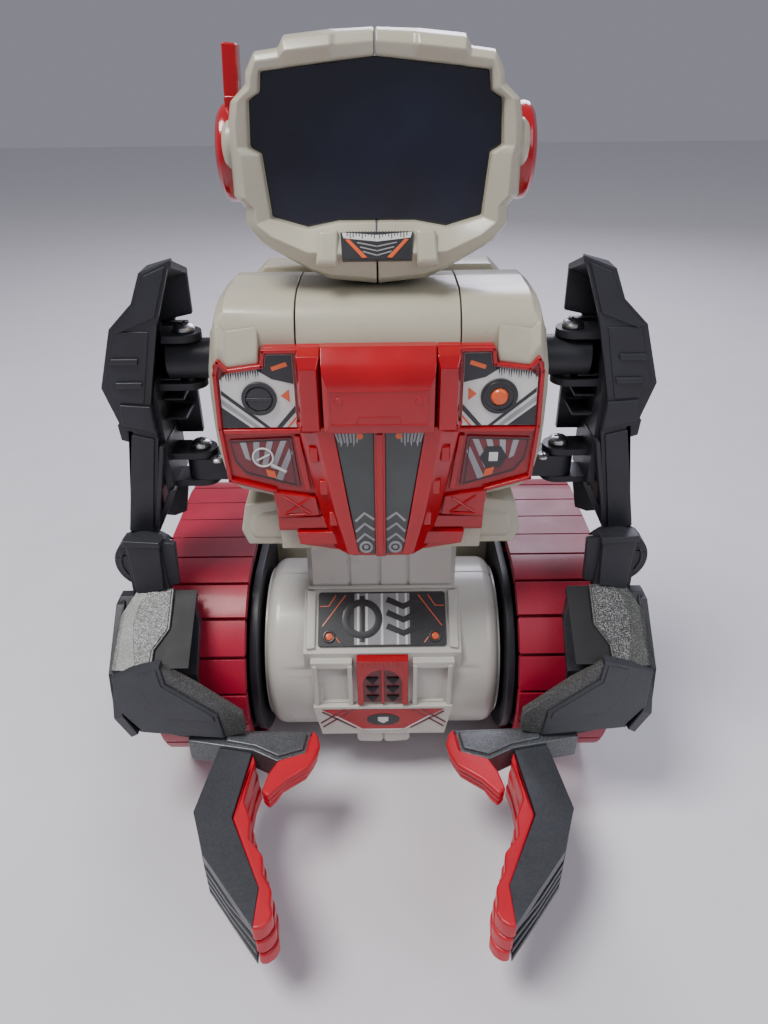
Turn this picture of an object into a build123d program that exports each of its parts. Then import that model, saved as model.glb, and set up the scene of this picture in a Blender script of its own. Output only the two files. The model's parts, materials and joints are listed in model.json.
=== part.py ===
"""Toy robot: a tracked base, a tilting torso, a turning head and two arms with claws.

Millimetres.  +Z is up, the robot faces -Y and its left and right are the viewer's.
The origin is on the floor, under the middle of the robot's outer box.
"""
from build123d import *
from math import pi, cos, sin, radians
import os

os.makedirs("parts", exist_ok=True)

# ---- tracks and chassis -------------------------------------------------------------
half_depth = 137.0            # front and rear reach of the whole robot
track_inner_x = 65.0
track_width = 45.0
belt_outer_radius = 56.0
link_thickness = 5.0
link_count = 26
belt_phase = 3.9              # how far the belt has run back past a link's middle
link_gap = 0.6
wheel_z = belt_outer_radius
hip_y = 20.5                  # front wheels and torso tilt share this axis
rear_wheel_y = half_depth - belt_outer_radius
wheel_base = rear_wheel_y - hip_y
wheel_radius = 46.5
wheel_thickness = 14.0
idler_inner_x = 68.0          # the big wheels overlap, so they run side by side
sprocket_inner_x = 91.0
axle_radius = 3.0
running_clearance = 0.05
frame_inner_x = 60.5          # inner face of the black track frames
frame_thickness = 4.0
frame_radius = 47.0
hip_boss_radius = 12.0
wall = 2.5

# ---- belly, waist and chest ---------------------------------------------------------
barrel_radius = 44.0
barrel_half_width = 57.5
waist_half_width = 36.5
chest_floor_z = 141.0
chest_top_z = 251.0
chest_front_y = -17.5
chest_split_y = 20.0
chest_rear_y = 48.0
backpack_rear_y = 72.0

# ---- shoulders, arms ----------------------------------------------------------------
arm_pivot_x = 80.5
arm_pivot_y = 13.5
shoulder_z = 219.0
tube_radius = 8.5
lug_radius = 7.0
spine_x = 92.5
lug_thickness = 3.0
boss_low_z = 164.0
boss_high_z = 174.0
pin_radius = 2.5
elbow_x = 105.0
elbow_z = 129.0
elbow_radius = 14.5
arm_front_y = -3.0
arm_rear_y = 33.0

# ---- head ---------------------------------------------------------------------------
head_front_y = -2.0
head_rear_y = 50.0
head_wall = 3.0
screen_y = 2.0
neck_y = 24.0

SIDES = (("left", -1), ("right", 1))


def front_plane(y):
    """Upright plane across the robot at depth y; extruding from it goes forwards."""
    return Plane.XZ.offset(-y)


def side_plane(x):
    """Upright plane along the robot at x; extruding from it goes to +X."""
    return Plane.YZ.offset(x)


def save(builder, name):
    """Label a finished sub-part and write its STEP file."""
    builder.part.label = name
    export_step(builder.part, f"parts/{name}.step")


def both_sides(points):
    """A right-hand outline closed with its mirror image about x = 0."""
    return list(points) + [(-x, z) for x, z in reversed(points) if x > 0.01]


def span(side, near, far):
    """The lower x of a slab that runs from near to far on one side of the robot."""
    return near if side > 0 else -far


def flip(side, points):
    """An outline given for the right side, put on the asked side."""
    return [(side * a, b) for a, b in points]


def x_slab(x_low, width, outline, mode=Mode.ADD):
    """Extrude an outline of (y, z) points along +X."""
    with BuildSketch(side_plane(x_low)) as profile:
        Polygon(*outline, align=None)
    return extrude(profile.sketch, amount=width, mode=mode)


def y_slab(y_front, y_rear, outline, mode=Mode.ADD):
    """Extrude an outline of (x, z) points between two depths."""
    with BuildSketch(front_plane(y_rear)) as profile:
        Polygon(*outline, align=None)
    return extrude(profile.sketch, amount=y_rear - y_front, mode=mode)


def z_slab(z_low, z_high, outline, mode=Mode.ADD):
    """Extrude an outline of (x, y) points between two heights."""
    with BuildSketch(Plane.XY.offset(z_low)) as profile:
        Polygon(*outline, align=None)
    return extrude(profile.sketch, amount=z_high - z_low, mode=mode)


def block(x0, x1, y0, y1, z0, z1, mode=Mode.ADD):
    """A plain box between two corners."""
    with Locations(((x0 + x1) / 2, (y0 + y1) / 2, (z0 + z1) / 2)):
        return Box(abs(x1 - x0), y1 - y0, z1 - z0, mode=mode)


def rod(plane, length, centre, radius, mode):
    """A cylinder that rises from a circle drawn on a plane."""
    with BuildSketch(plane) as profile:
        with Locations(centre):
            Circle(radius)
    return extrude(profile.sketch, amount=length, mode=mode)


def rod_x(x0, x1, y, z, radius, mode=Mode.ADD):
    """A cylinder along X."""
    return rod(side_plane(min(x0, x1)), abs(x1 - x0), (y, z), radius, mode)


def rod_y(y0, y1, x, z, radius, mode=Mode.ADD):
    """A cylinder along Y."""
    return rod(front_plane(y1), y1 - y0, (x, z), radius, mode)


def rod_z(z0, z1, x, y, radius, mode=Mode.ADD):
    """A cylinder along Z."""
    return rod(Plane.XY.offset(z0), z1 - z0, (x, y), radius, mode)


# ---- tracks -------------------------------------------------------------------------
def belt_stations():
    """Centre (y, z) and outward angle of each link, from the rearmost point upwards."""
    radius = belt_outer_radius - link_thickness / 2
    quarter = pi * radius / 2
    lap = 4 * quarter + 2 * wheel_base
    for number in range(link_count):
        run = (lap * number / link_count - belt_phase) % lap
        if run < quarter or run >= lap - quarter:
            angle = (run if run < quarter else run - lap) / radius
            yield rear_wheel_y + radius * cos(angle), wheel_z + radius * sin(angle), angle
        elif run < quarter + wheel_base:
            yield rear_wheel_y - (run - quarter), wheel_z + radius, pi / 2
        elif run < 3 * quarter + wheel_base:
            angle = (run - wheel_base) / radius
            yield hip_y + radius * cos(angle), wheel_z + radius * sin(angle), angle
        else:
            yield hip_y + (run - 3 * quarter - wheel_base), wheel_z - radius, -pi / 2


belt_lap = 2 * pi * (belt_outer_radius - link_thickness / 2) + 2 * wheel_base
link_half = belt_lap / link_count / 2 - link_gap / 2
link_taper = 0.8
lug_half_length = 3.0
lug_height = 3.0
lug_width = 6.0

for name, side in SIDES:
    low_x = span(side, track_inner_x, track_inner_x + track_width)
    with BuildPart() as track_links:
        with BuildSketch(side_plane(low_x)):
            for y, z, angle in belt_stations():
                with Locations(Location((y, z, 0), (0, 0, angle * 180 / pi))):
                    Polygon(
                        (-link_thickness / 2, -link_half + link_taper),
                        (link_thickness / 2, -link_half),
                        (link_thickness / 2, link_half),
                        (-link_thickness / 2, link_half - link_taper),
                        align=None,
                    )
        extrude(amount=track_width)
        with BuildSketch(side_plane(low_x + (track_width - lug_width) / 2)):
            for y, z, angle in belt_stations():
                with Locations(Location((y, z, 0), (0, 0, angle * 180 / pi))):
                    Polygon(
                        (-link_thickness / 2 - lug_height, -lug_half_length),
                        (-link_thickness / 2 + 1, -lug_half_length),
                        (-link_thickness / 2 + 1, lug_half_length),
                        (-link_thickness / 2 - lug_height, lug_half_length),
                        align=None,
                    )
        extrude(amount=lug_width)
        with BuildSketch(side_plane(low_x)):
            with Locations(((hip_y + rear_wheel_y) / 2, wheel_z)):
                SlotCenterToCenter(wheel_base, 2 * belt_outer_radius)
        extrude(amount=track_width, mode=Mode.INTERSECT)
    save(track_links, f"track_links_{name}")

    # Black side plate between the belly and the wheels, with the hip boss that the torso tilts on.
    plate_x = span(side, frame_inner_x, frame_inner_x + frame_thickness)
    boss_x = side * (barrel_half_width - wall - 1)
    with BuildPart() as track_frame:
        with BuildSketch(side_plane(plate_x)):
            with Locations(((hip_y + rear_wheel_y) / 2, wheel_z)):
                SlotCenterToCenter(wheel_base, 2 * frame_radius)
        extrude(amount=frame_thickness)
        rod_x(boss_x, side * (frame_inner_x + 1), hip_y, wheel_z, hip_boss_radius)
        rod_x(boss_x, side * track_inner_x, hip_y, wheel_z, axle_radius, Mode.SUBTRACT)
        rod_x(side * 58, side * 66, rear_wheel_y, wheel_z, axle_radius + running_clearance, Mode.SUBTRACT)
    save(track_frame, f"track_frame_{name}")

    # Outer side cover inside the belt loop; it holds the outer ends of both axles.
    cover_x = span(side, 105.5, 108.5)
    with BuildPart() as track_cover:
        with BuildSketch(side_plane(cover_x)):
            with Locations(((hip_y + rear_wheel_y) / 2, wheel_z)):
                SlotCenterToCenter(wheel_base, 2 * frame_radius - 2)
        extrude(amount=3.0)
        for y in (hip_y, rear_wheel_y):
            rod_x(side * 106, side * 110, y, wheel_z, 13)
        bridge_y = (hip_y + rear_wheel_y) / 2
        for z in (wheel_z - 41.8, wheel_z + 41.8):
            rod_x(side * (frame_inner_x + frame_thickness), side * 106, bridge_y, z, 2.8)
        rod_x(side * 103, side * 108, hip_y, wheel_z, axle_radius, Mode.SUBTRACT)
        rod_x(side * 103, side * 108, rear_wheel_y, wheel_z, axle_radius + running_clearance, Mode.SUBTRACT)
    save(track_cover, f"track_cover_{name}")

    # Driven rear sprocket with its axle, and the idler that runs on a fixed axle at the hip.
    rear_x = span(side, sprocket_inner_x, sprocket_inner_x + wheel_thickness)
    front_x = span(side, idler_inner_x, idler_inner_x + wheel_thickness)
    tooth_count = 16
    with BuildPart() as sprocket:
        with BuildSketch(side_plane(rear_x)):
            with Locations((rear_wheel_y, wheel_z)):
                Circle(wheel_radius - 5)
                with PolarLocations(wheel_radius - 4, tooth_count):
                    Rectangle(8, 6)
                with PolarLocations(25, 6):
                    Circle(8, mode=Mode.SUBTRACT)
        extrude(amount=wheel_thickness)
        rod_x(side * 55, side * 107.9, rear_wheel_y, wheel_z, axle_radius)
    save(sprocket, f"sprocket_{name}")

    with BuildPart() as idler:
        with BuildSketch(side_plane(front_x)):
            with Locations((hip_y, wheel_z)):
                Circle(wheel_radius)
                with PolarLocations(28, 6):
                    Circle(8, mode=Mode.SUBTRACT)
                Circle(axle_radius + running_clearance, mode=Mode.SUBTRACT)
        extrude(amount=wheel_thickness)
    save(idler, f"idler_{name}")

with BuildPart() as idler_axles:
    for _, side in SIDES:
        rod_x(side * (barrel_half_width - wall - 1), side * 108, hip_y, wheel_z, axle_radius)
save(idler_axles, "idler_axles")

# ---- chassis box between the tracks, behind the belly -------------------------------
box_front_y = 67.0
box_rear_y = 122.0
box_low_z = 18.0
box_high_z = 94.0
box_corner = 8.0

with BuildPart() as chassis_box:
    block(-frame_inner_x, frame_inner_x, box_front_y, box_rear_y, box_low_z, box_high_z)
    fillet(chassis_box.edges().filter_by(Axis.X), box_corner)
    block(
        -frame_inner_x + wall, frame_inner_x - wall, box_front_y + wall, box_rear_y + 1,
        box_low_z + wall + 3, box_high_z - wall - 3, Mode.SUBTRACT,
    )
    for _, side in SIDES:
        rod_x(side * 57, side * 61, rear_wheel_y, wheel_z, axle_radius + 0.5, Mode.SUBTRACT)
    block(-9, 9, 107, 115, box_high_z - 8, box_high_z + 1, Mode.SUBTRACT)
save(chassis_box, "chassis_box")

with BuildPart() as battery_cover:
    block(-frame_inner_x + 1, frame_inner_x - 1, box_rear_y, box_rear_y + 3, box_low_z + 6, box_high_z - 6)
    fillet(battery_cover.edges().filter_by(Axis.Y), 6)
    chamfer(battery_cover.faces().sort_by(Axis.Y)[-1].edges(), 1.2)
    block(-14, 14, box_rear_y + 1.8, box_rear_y + 4, box_high_z - 18, box_high_z - 12, Mode.SUBTRACT)
save(battery_cover, "battery_cover")

battery_radius = 7.2
battery_length = 50.5
with BuildPart() as batteries:
    for x in (-27.0, 27.0):
        for z in (32.0, 48.0):
            rod_x(x - battery_length / 2, x + battery_length / 2, 112, z, battery_radius)
            rod_x(x + battery_length / 2, x + battery_length / 2 + 1, 112, z, 2.7)
save(batteries, "batteries")

with BuildPart() as drive_motors:
    for _, side in SIDES:
        block(side * 22, side * 58, rear_wheel_y - 10, rear_wheel_y + 14, wheel_z - 9, wheel_z + 11)
        rod_x(side * 5, side * 23, rear_wheel_y + 4, wheel_z + 1, 8)
        rod_x(side * 54, side * 59, rear_wheel_y, wheel_z, axle_radius + running_clearance, Mode.SUBTRACT)
save(drive_motors, "drive_motors")

with BuildPart() as power_switch:
    block(-6.5, -6.5 + 9, 107.5, 114.5, box_high_z - 4.8, box_high_z)
    block(-5, 1, 108.5, 113.5, box_high_z - 0.5, box_high_z + 1.6)
save(power_switch, "power_switch")

# ---- belly barrel -------------------------------------------------------------------

def barrel_point(angle, radius):
    """A point on a circle round the hip axis; 0 is straight ahead and 90 straight up."""
    return hip_y - radius * cos(radians(angle)), wheel_z + radius * sin(radians(angle))


with BuildPart() as barrel_block:
    rod_x(-barrel_half_width, barrel_half_width, hip_y, wheel_z, barrel_radius)
    fillet(barrel_block.edges().filter_by(GeomType.CIRCLE), 7)
    x_slab(
        -38, 76,
        [
            barrel_point(70, 20), barrel_point(72, 49.5), barrel_point(33, 49.5),
            (-19, 58), (-22, 52), (-22, 47), (0, 30),
        ],
    )

with BuildPart() as barrel_cavity:
    rod_x(
        -barrel_half_width + wall, barrel_half_width - wall, hip_y, wheel_z,
        barrel_radius - wall,
    )

with BuildPart() as belly_housing_front:
    add(barrel_block.part)
    add(barrel_cavity.part, mode=Mode.SUBTRACT)
    rod_x(-70, 70, hip_y, wheel_z, hip_boss_radius + running_clearance, Mode.SUBTRACT)
    for x in (-23, 23):
        block(x - 7, x + 7, -24, -21.8, 53, 72, Mode.SUBTRACT)
    y_slab(-26, -19.5, [(34.5, 52), (31, 33), (-31, 33), (-34.5, 52)])
    block(-13, 13, -24, -20, 27, 33.5)
    split(bisect_by=Plane.XZ.offset(-hip_y), keep=Keep.TOP)
save(belly_housing_front, "belly_housing_front")

with BuildPart() as belly_housing_rear:
    add(barrel_block.part)
    add(barrel_cavity.part, mode=Mode.SUBTRACT)
    rod_x(-70, 70, hip_y, wheel_z, hip_boss_radius + running_clearance, Mode.SUBTRACT)
    split(bisect_by=Plane.XZ.offset(-hip_y), keep=Keep.BOTTOM)
save(belly_housing_rear, "belly_housing_rear")

# The number plate lies on the flat facet that faces up and forwards.
plate_top = barrel_point(72, 49.5)
plate_bottom = barrel_point(33, 49.5)
facet_angle = 52.5
plate_centre = ((plate_top[0] + plate_bottom[0]) / 2, (plate_top[1] + plate_bottom[1]) / 2)
plate_plane = Plane(
    origin=(0, plate_centre[0], plate_centre[1]),
    x_dir=(1, 0, 0),
    z_dir=(0, -cos(radians(facet_angle)), sin(radians(facet_angle))),
)
with BuildPart() as number_plate:
    with BuildSketch(plate_plane):
        RectangleRounded(62, 27, 1.5)
    extrude(amount=1.2)
save(number_plate, "number_plate")

with BuildPart() as vent_plate:
    block(-12.5, 12.5, -25.5, -21.2, 53.5, 81)
    add(belly_housing_front.part, mode=Mode.SUBTRACT)
save(vent_plate, "vent_plate")

with BuildPart() as waist_block:
    block(-waist_half_width, waist_half_width, 6, 40, 92, chest_floor_z)
    chamfer(waist_block.edges().filter_by(Axis.Z), 4)
    add(barrel_block.part, mode=Mode.SUBTRACT)
    block(-25, 25, 12, 32, 80, chest_floor_z + 1, Mode.SUBTRACT)
save(waist_block, "waist_block")

# ---- chest --------------------------------------------------------------------------
chest_side = [
    (0, chest_top_z), (59.5, chest_top_z), (62.5, 246), (65, 233), (67, 218), (67.5, 202), (65.5, 188),
    (62.5, 177), (46, 169), (44, chest_floor_z), (0, chest_floor_z),
]
winglet_outline = [(45, 163), (58.5, 161), (61.5, 149), (59, 141.5), (43, 141.5)]
chest_profile = [
    (chest_front_y, chest_floor_z), (chest_front_y, 233), (-12, 245.5), (0, chest_top_z),
    (19, chest_top_z), (chest_rear_y, 240), (chest_rear_y, 158), (32, chest_floor_z),
]
chest_middle = (chest_floor_z + chest_top_z) / 2


def shrunk(outline, centre, amount):
    """An outline pulled towards its centre by about the wall thickness."""
    return [
        (
            a - amount * (1 if a > centre[0] + 1 else -1 if a < centre[0] - 1 else 0),
            b - amount * (1 if b > centre[1] else -1),
        )
        for a, b in outline
    ]


with BuildPart() as chest_block:
    y_slab(chest_front_y - 1, chest_rear_y + 1, both_sides(chest_side))
    with BuildSketch(side_plane(-75)):
        Polygon(*chest_profile, align=None)
    extrude(amount=150, mode=Mode.INTERSECT)

with BuildPart() as chest_cavity:
    y_slab(chest_front_y, chest_rear_y, both_sides(shrunk(chest_side, (0, chest_middle), wall)))
    with BuildSketch(side_plane(-75)):
        Polygon(*shrunk(chest_profile, (15, chest_middle), wall), align=None)
    extrude(amount=150, mode=Mode.INTERSECT)

with BuildPart() as chest_front:
    add(chest_block.part)
    for _, side in SIDES:
        y_slab(chest_front_y + 4, 8, flip(side, winglet_outline))
    add(chest_cavity.part, mode=Mode.SUBTRACT)
    split(bisect_by=Plane.XZ.offset(-chest_split_y), keep=Keep.TOP)
save(chest_front, "chest_front")

with BuildPart() as chest_back:
    add(chest_block.part)
    add(chest_cavity.part, mode=Mode.SUBTRACT)
    split(bisect_by=Plane.XZ.offset(-chest_split_y), keep=Keep.BOTTOM)
save(chest_back, "chest_back")

cover_back_y = chest_front_y
cover_outline = both_sides([
    (0, 235), (43.5, 235), (45, 228.5), (57, 226.5), (60.5, 230), (63.5, 202), (62, 177),
    (44, 173), (43.5, 160), (25, 161), (21, 146), (0, 142.5),
])
window_outline = [(2.2, 204.8), (17.8, 204.8), (12.3, 165), (9.6, 147), (2.2, 145)]
label_upper = [(32, 228), (43.5, 228), (45, 225), (58, 222.5), (60.5, 222), (61.5, 202.5), (33, 202)]
label_lower = [(35, 197.5), (59.5, 195.5), (54.5, 181.5), (32.5, 174.5)]

with BuildPart() as chest_cover:
    y_slab(cover_back_y - 4, cover_back_y, cover_outline)
    raised_v = both_sides([(0, 235), (23, 235), (33, 228), (33, 200), (20, 146), (0, 143.5)])
    y_slab(cover_back_y - 10, cover_back_y - 3, raised_v)
    block(-20.5, 20.5, cover_back_y - 14, cover_back_y - 9, 203, 225)
    chamfer(chest_cover.faces().sort_by(Axis.Y)[0].edges(), 2.5)
    for side in (-1, 1):
        y_slab(cover_back_y - 11, cover_back_y - 8, flip(side, window_outline), Mode.SUBTRACT)
        y_slab(cover_back_y - 5, cover_back_y - 3, flip(side, label_upper), Mode.SUBTRACT)
        y_slab(cover_back_y - 5, cover_back_y - 3, flip(side, label_lower), Mode.SUBTRACT)
        block(side * 27, side * 42, cover_back_y - 6, cover_back_y - 3.9, 163, 171)
save(chest_cover, "chest_cover")

with BuildPart() as chest_windows:
    for side in (-1, 1):
        y_slab(cover_back_y - 9.2, cover_back_y - 8, flip(side, window_outline))
save(chest_windows, "chest_windows")

with BuildPart() as label_plates:
    for side in (-1, 1):
        upper_plate = [(33, 227.5)] + label_upper[1:-1] + [(33, 202)]
        y_slab(cover_back_y - 4, cover_back_y - 3, flip(side, upper_plate))
        y_slab(cover_back_y - 4, cover_back_y - 3, flip(side, label_lower))
save(label_plates, "label_plates")

with BuildPart() as backpack:
    x_slab(
        -56, 112,
        [(chest_rear_y, 165), (chest_rear_y, 248.5), (66, 248.5), (backpack_rear_y, 241),
         (backpack_rear_y, 178), (62, 165)],
    )
    fillet(backpack.edges().filter_by(Axis.Y), 5)
    block(-56 + wall, 56 - wall, chest_rear_y - 1, backpack_rear_y - wall - 1, 178, 237, Mode.SUBTRACT)
save(backpack, "backpack")

with BuildPart() as circuit_board:
    block(-40, 40, 52, 53.6, 185, 235)
    for x in (-22, 8):
        block(x, x + 16, 53.6, 56, 200, 216)
save(circuit_board, "circuit_board")

with BuildPart() as speaker:
    rod_y(-14.5, -8, 0, 184, 18)
    rod_y(-8, -2, 0, 184, 11)
save(speaker, "speaker")

# The arm motor turns both pivots through one worm shaft across the chest.
with BuildPart() as arm_motor:
    block(-22, 22, 0, 28, 205, 231)
    rod_x(-59, 59, arm_pivot_y, shoulder_z, 3)
save(arm_motor, "arm_motor")

with BuildPart() as shoulder_mounts:
    for _, side in SIDES:
        rod_x(side * 60, side * (arm_pivot_x + 7.5), arm_pivot_y, shoulder_z, tube_radius)
        block(side * 42, side * arm_pivot_x, arm_pivot_y - 7, arm_pivot_y + 7, boss_low_z, boss_high_z)
        rod_z(boss_low_z, boss_high_z, side * arm_pivot_x, arm_pivot_y, 7)
        for z0, z1 in ((boss_low_z - 1, boss_high_z + 1), (shoulder_z - 10, shoulder_z + 10)):
            rod_z(z0, z1, side * arm_pivot_x, arm_pivot_y, pin_radius, Mode.SUBTRACT)
    add(chest_block.part, mode=Mode.SUBTRACT)
save(shoulder_mounts, "shoulder_mounts")

bracket_levels = (
    (boss_low_z - lug_thickness - 0.3, boss_high_z + 0.3),
    (shoulder_z - tube_radius - lug_thickness - 0.3, shoulder_z + tube_radius + 0.3),
)
pin_head = 1.6
with BuildPart() as pivot_pins:
    for _, side in SIDES:
        for low, high in bracket_levels:
            top = high + lug_thickness
            rod_z(low - 1, top + 0.2, side * arm_pivot_x, arm_pivot_y, pin_radius)
            rod_z(top + 0.2, top + 0.2 + pin_head, side * arm_pivot_x, arm_pivot_y, 4.5)
save(pivot_pins, "pivot_pins")

# ---- head ---------------------------------------------------------------------------
head_outline = [
    (0, 335.5), (30, 333.5), (32, 330), (40, 329), (43.5, 323.5), (44, 319.5), (49.5, 314.5),
    (51, 308), (51.5, 284.5), (48.3, 281), (48.3, 274.5), (43.5, 268), (25.5, 257.8),
    (18.2, 254.5), (0, 252.7),
]
screen_outline = [
    (0, 327.6), (38.7, 323.4), (39.5, 317.3), (43.5, 315), (44.4, 300.4), (40.5, 298.2),
    (38.6, 277), (25.7, 273.3), (14.2, 275.4), (0, 275.4),
]
chin_outline = [(13.5, 272), (12, 262), (-12, 262), (-13.5, 272)]
head_middle = 294.0

with BuildPart() as head_block:
    y_slab(head_front_y, head_rear_y, both_sides(head_outline))
    chamfer(head_block.faces().sort_by(Axis.Y)[-1].edges(), 6)
    y_slab(
        head_front_y + head_wall + 4, head_rear_y - head_wall,
        both_sides(shrunk(head_outline, (0, head_middle), head_wall + 3)), Mode.SUBTRACT,
    )
    y_slab(head_front_y - 1, head_front_y + 8, both_sides(screen_outline), Mode.SUBTRACT)
    rod_z(250, 262, 0, neck_y, 15 + 0.3, Mode.SUBTRACT)
    y_slab(head_front_y - 1, head_front_y + 1, chin_outline, Mode.SUBTRACT)

with BuildPart() as head_shell_left:
    add(head_block.part)
    split(bisect_by=Plane.YZ, keep=Keep.BOTTOM)
save(head_shell_left, "head_shell_left")

with BuildPart() as head_shell_right:
    add(head_block.part)
    split(bisect_by=Plane.YZ, keep=Keep.TOP)
save(head_shell_right, "head_shell_right")

with BuildPart() as screen:
    y_slab(screen_y, screen_y + 3, both_sides(screen_outline))
save(screen, "screen")

with BuildPart() as chin_plate:
    y_slab(head_front_y - 0.2, head_front_y + 1, chin_outline)
save(chin_plate, "chin_plate")

ear_y = 24.0
ear_z = 296.0
ear_radius = 17.0
with BuildPart() as ear_cups:
    for _, side in SIDES:
        with BuildSketch(side_plane(side * 51.6)):
            with Locations((ear_y, ear_z)):
                Circle(ear_radius)
        extrude(amount=side * 7.5, taper=12)
    add(head_block.part, mode=Mode.SUBTRACT)
save(ear_cups, "ear_cups")

with BuildPart() as antenna:
    y_slab(ear_y - 4, ear_y + 4, [(-54.5, 310), (-50.0, 310), (-48.6, 331), (-53.4, 332)])
    add(ear_cups.part, mode=Mode.SUBTRACT)
    add(head_block.part, mode=Mode.SUBTRACT)
save(antenna, "antenna")

with BuildPart() as neck:
    rod_z(238, 260, 0, neck_y, 15)
    rod_z(238, 252, 0, neck_y, 17)
    add(chest_block.part, mode=Mode.SUBTRACT)
save(neck, "neck")

# ---- arms ---------------------------------------------------------------------------
pad_outer = [(77.5, 263.5), (90, 258.5), (95, 247), (105.5, 237), (113.5, 212.5), (108.5, 194)]
pad_inner = [(94, 190), (95, 204), (86, 240)]
upper_arm_outline = [(94, 190), (106, 193.3), (114.5, 141), (102.5, 138)]
open_side = 25.0


def channel(side, outline, inner_count, y_front, y_rear):
    """A thin-walled box of the given outline that is open towards the body.

    The last inner_count points of the outline are its edge on the open side.
    """
    y_slab(y_front, y_rear, flip(side, outline))
    walled = len(outline) - inner_count
    reach = outline[:walled] + [(x - open_side, z) for x, z in outline[walled:]]
    with BuildSketch(front_plane(y_rear - wall)) as hollow:
        Polygon(*flip(side, reach), align=None)
        offset(amount=-wall, kind=Kind.INTERSECTION)
    extrude(hollow.sketch, amount=y_rear - y_front - 2 * wall, mode=Mode.SUBTRACT)


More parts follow.
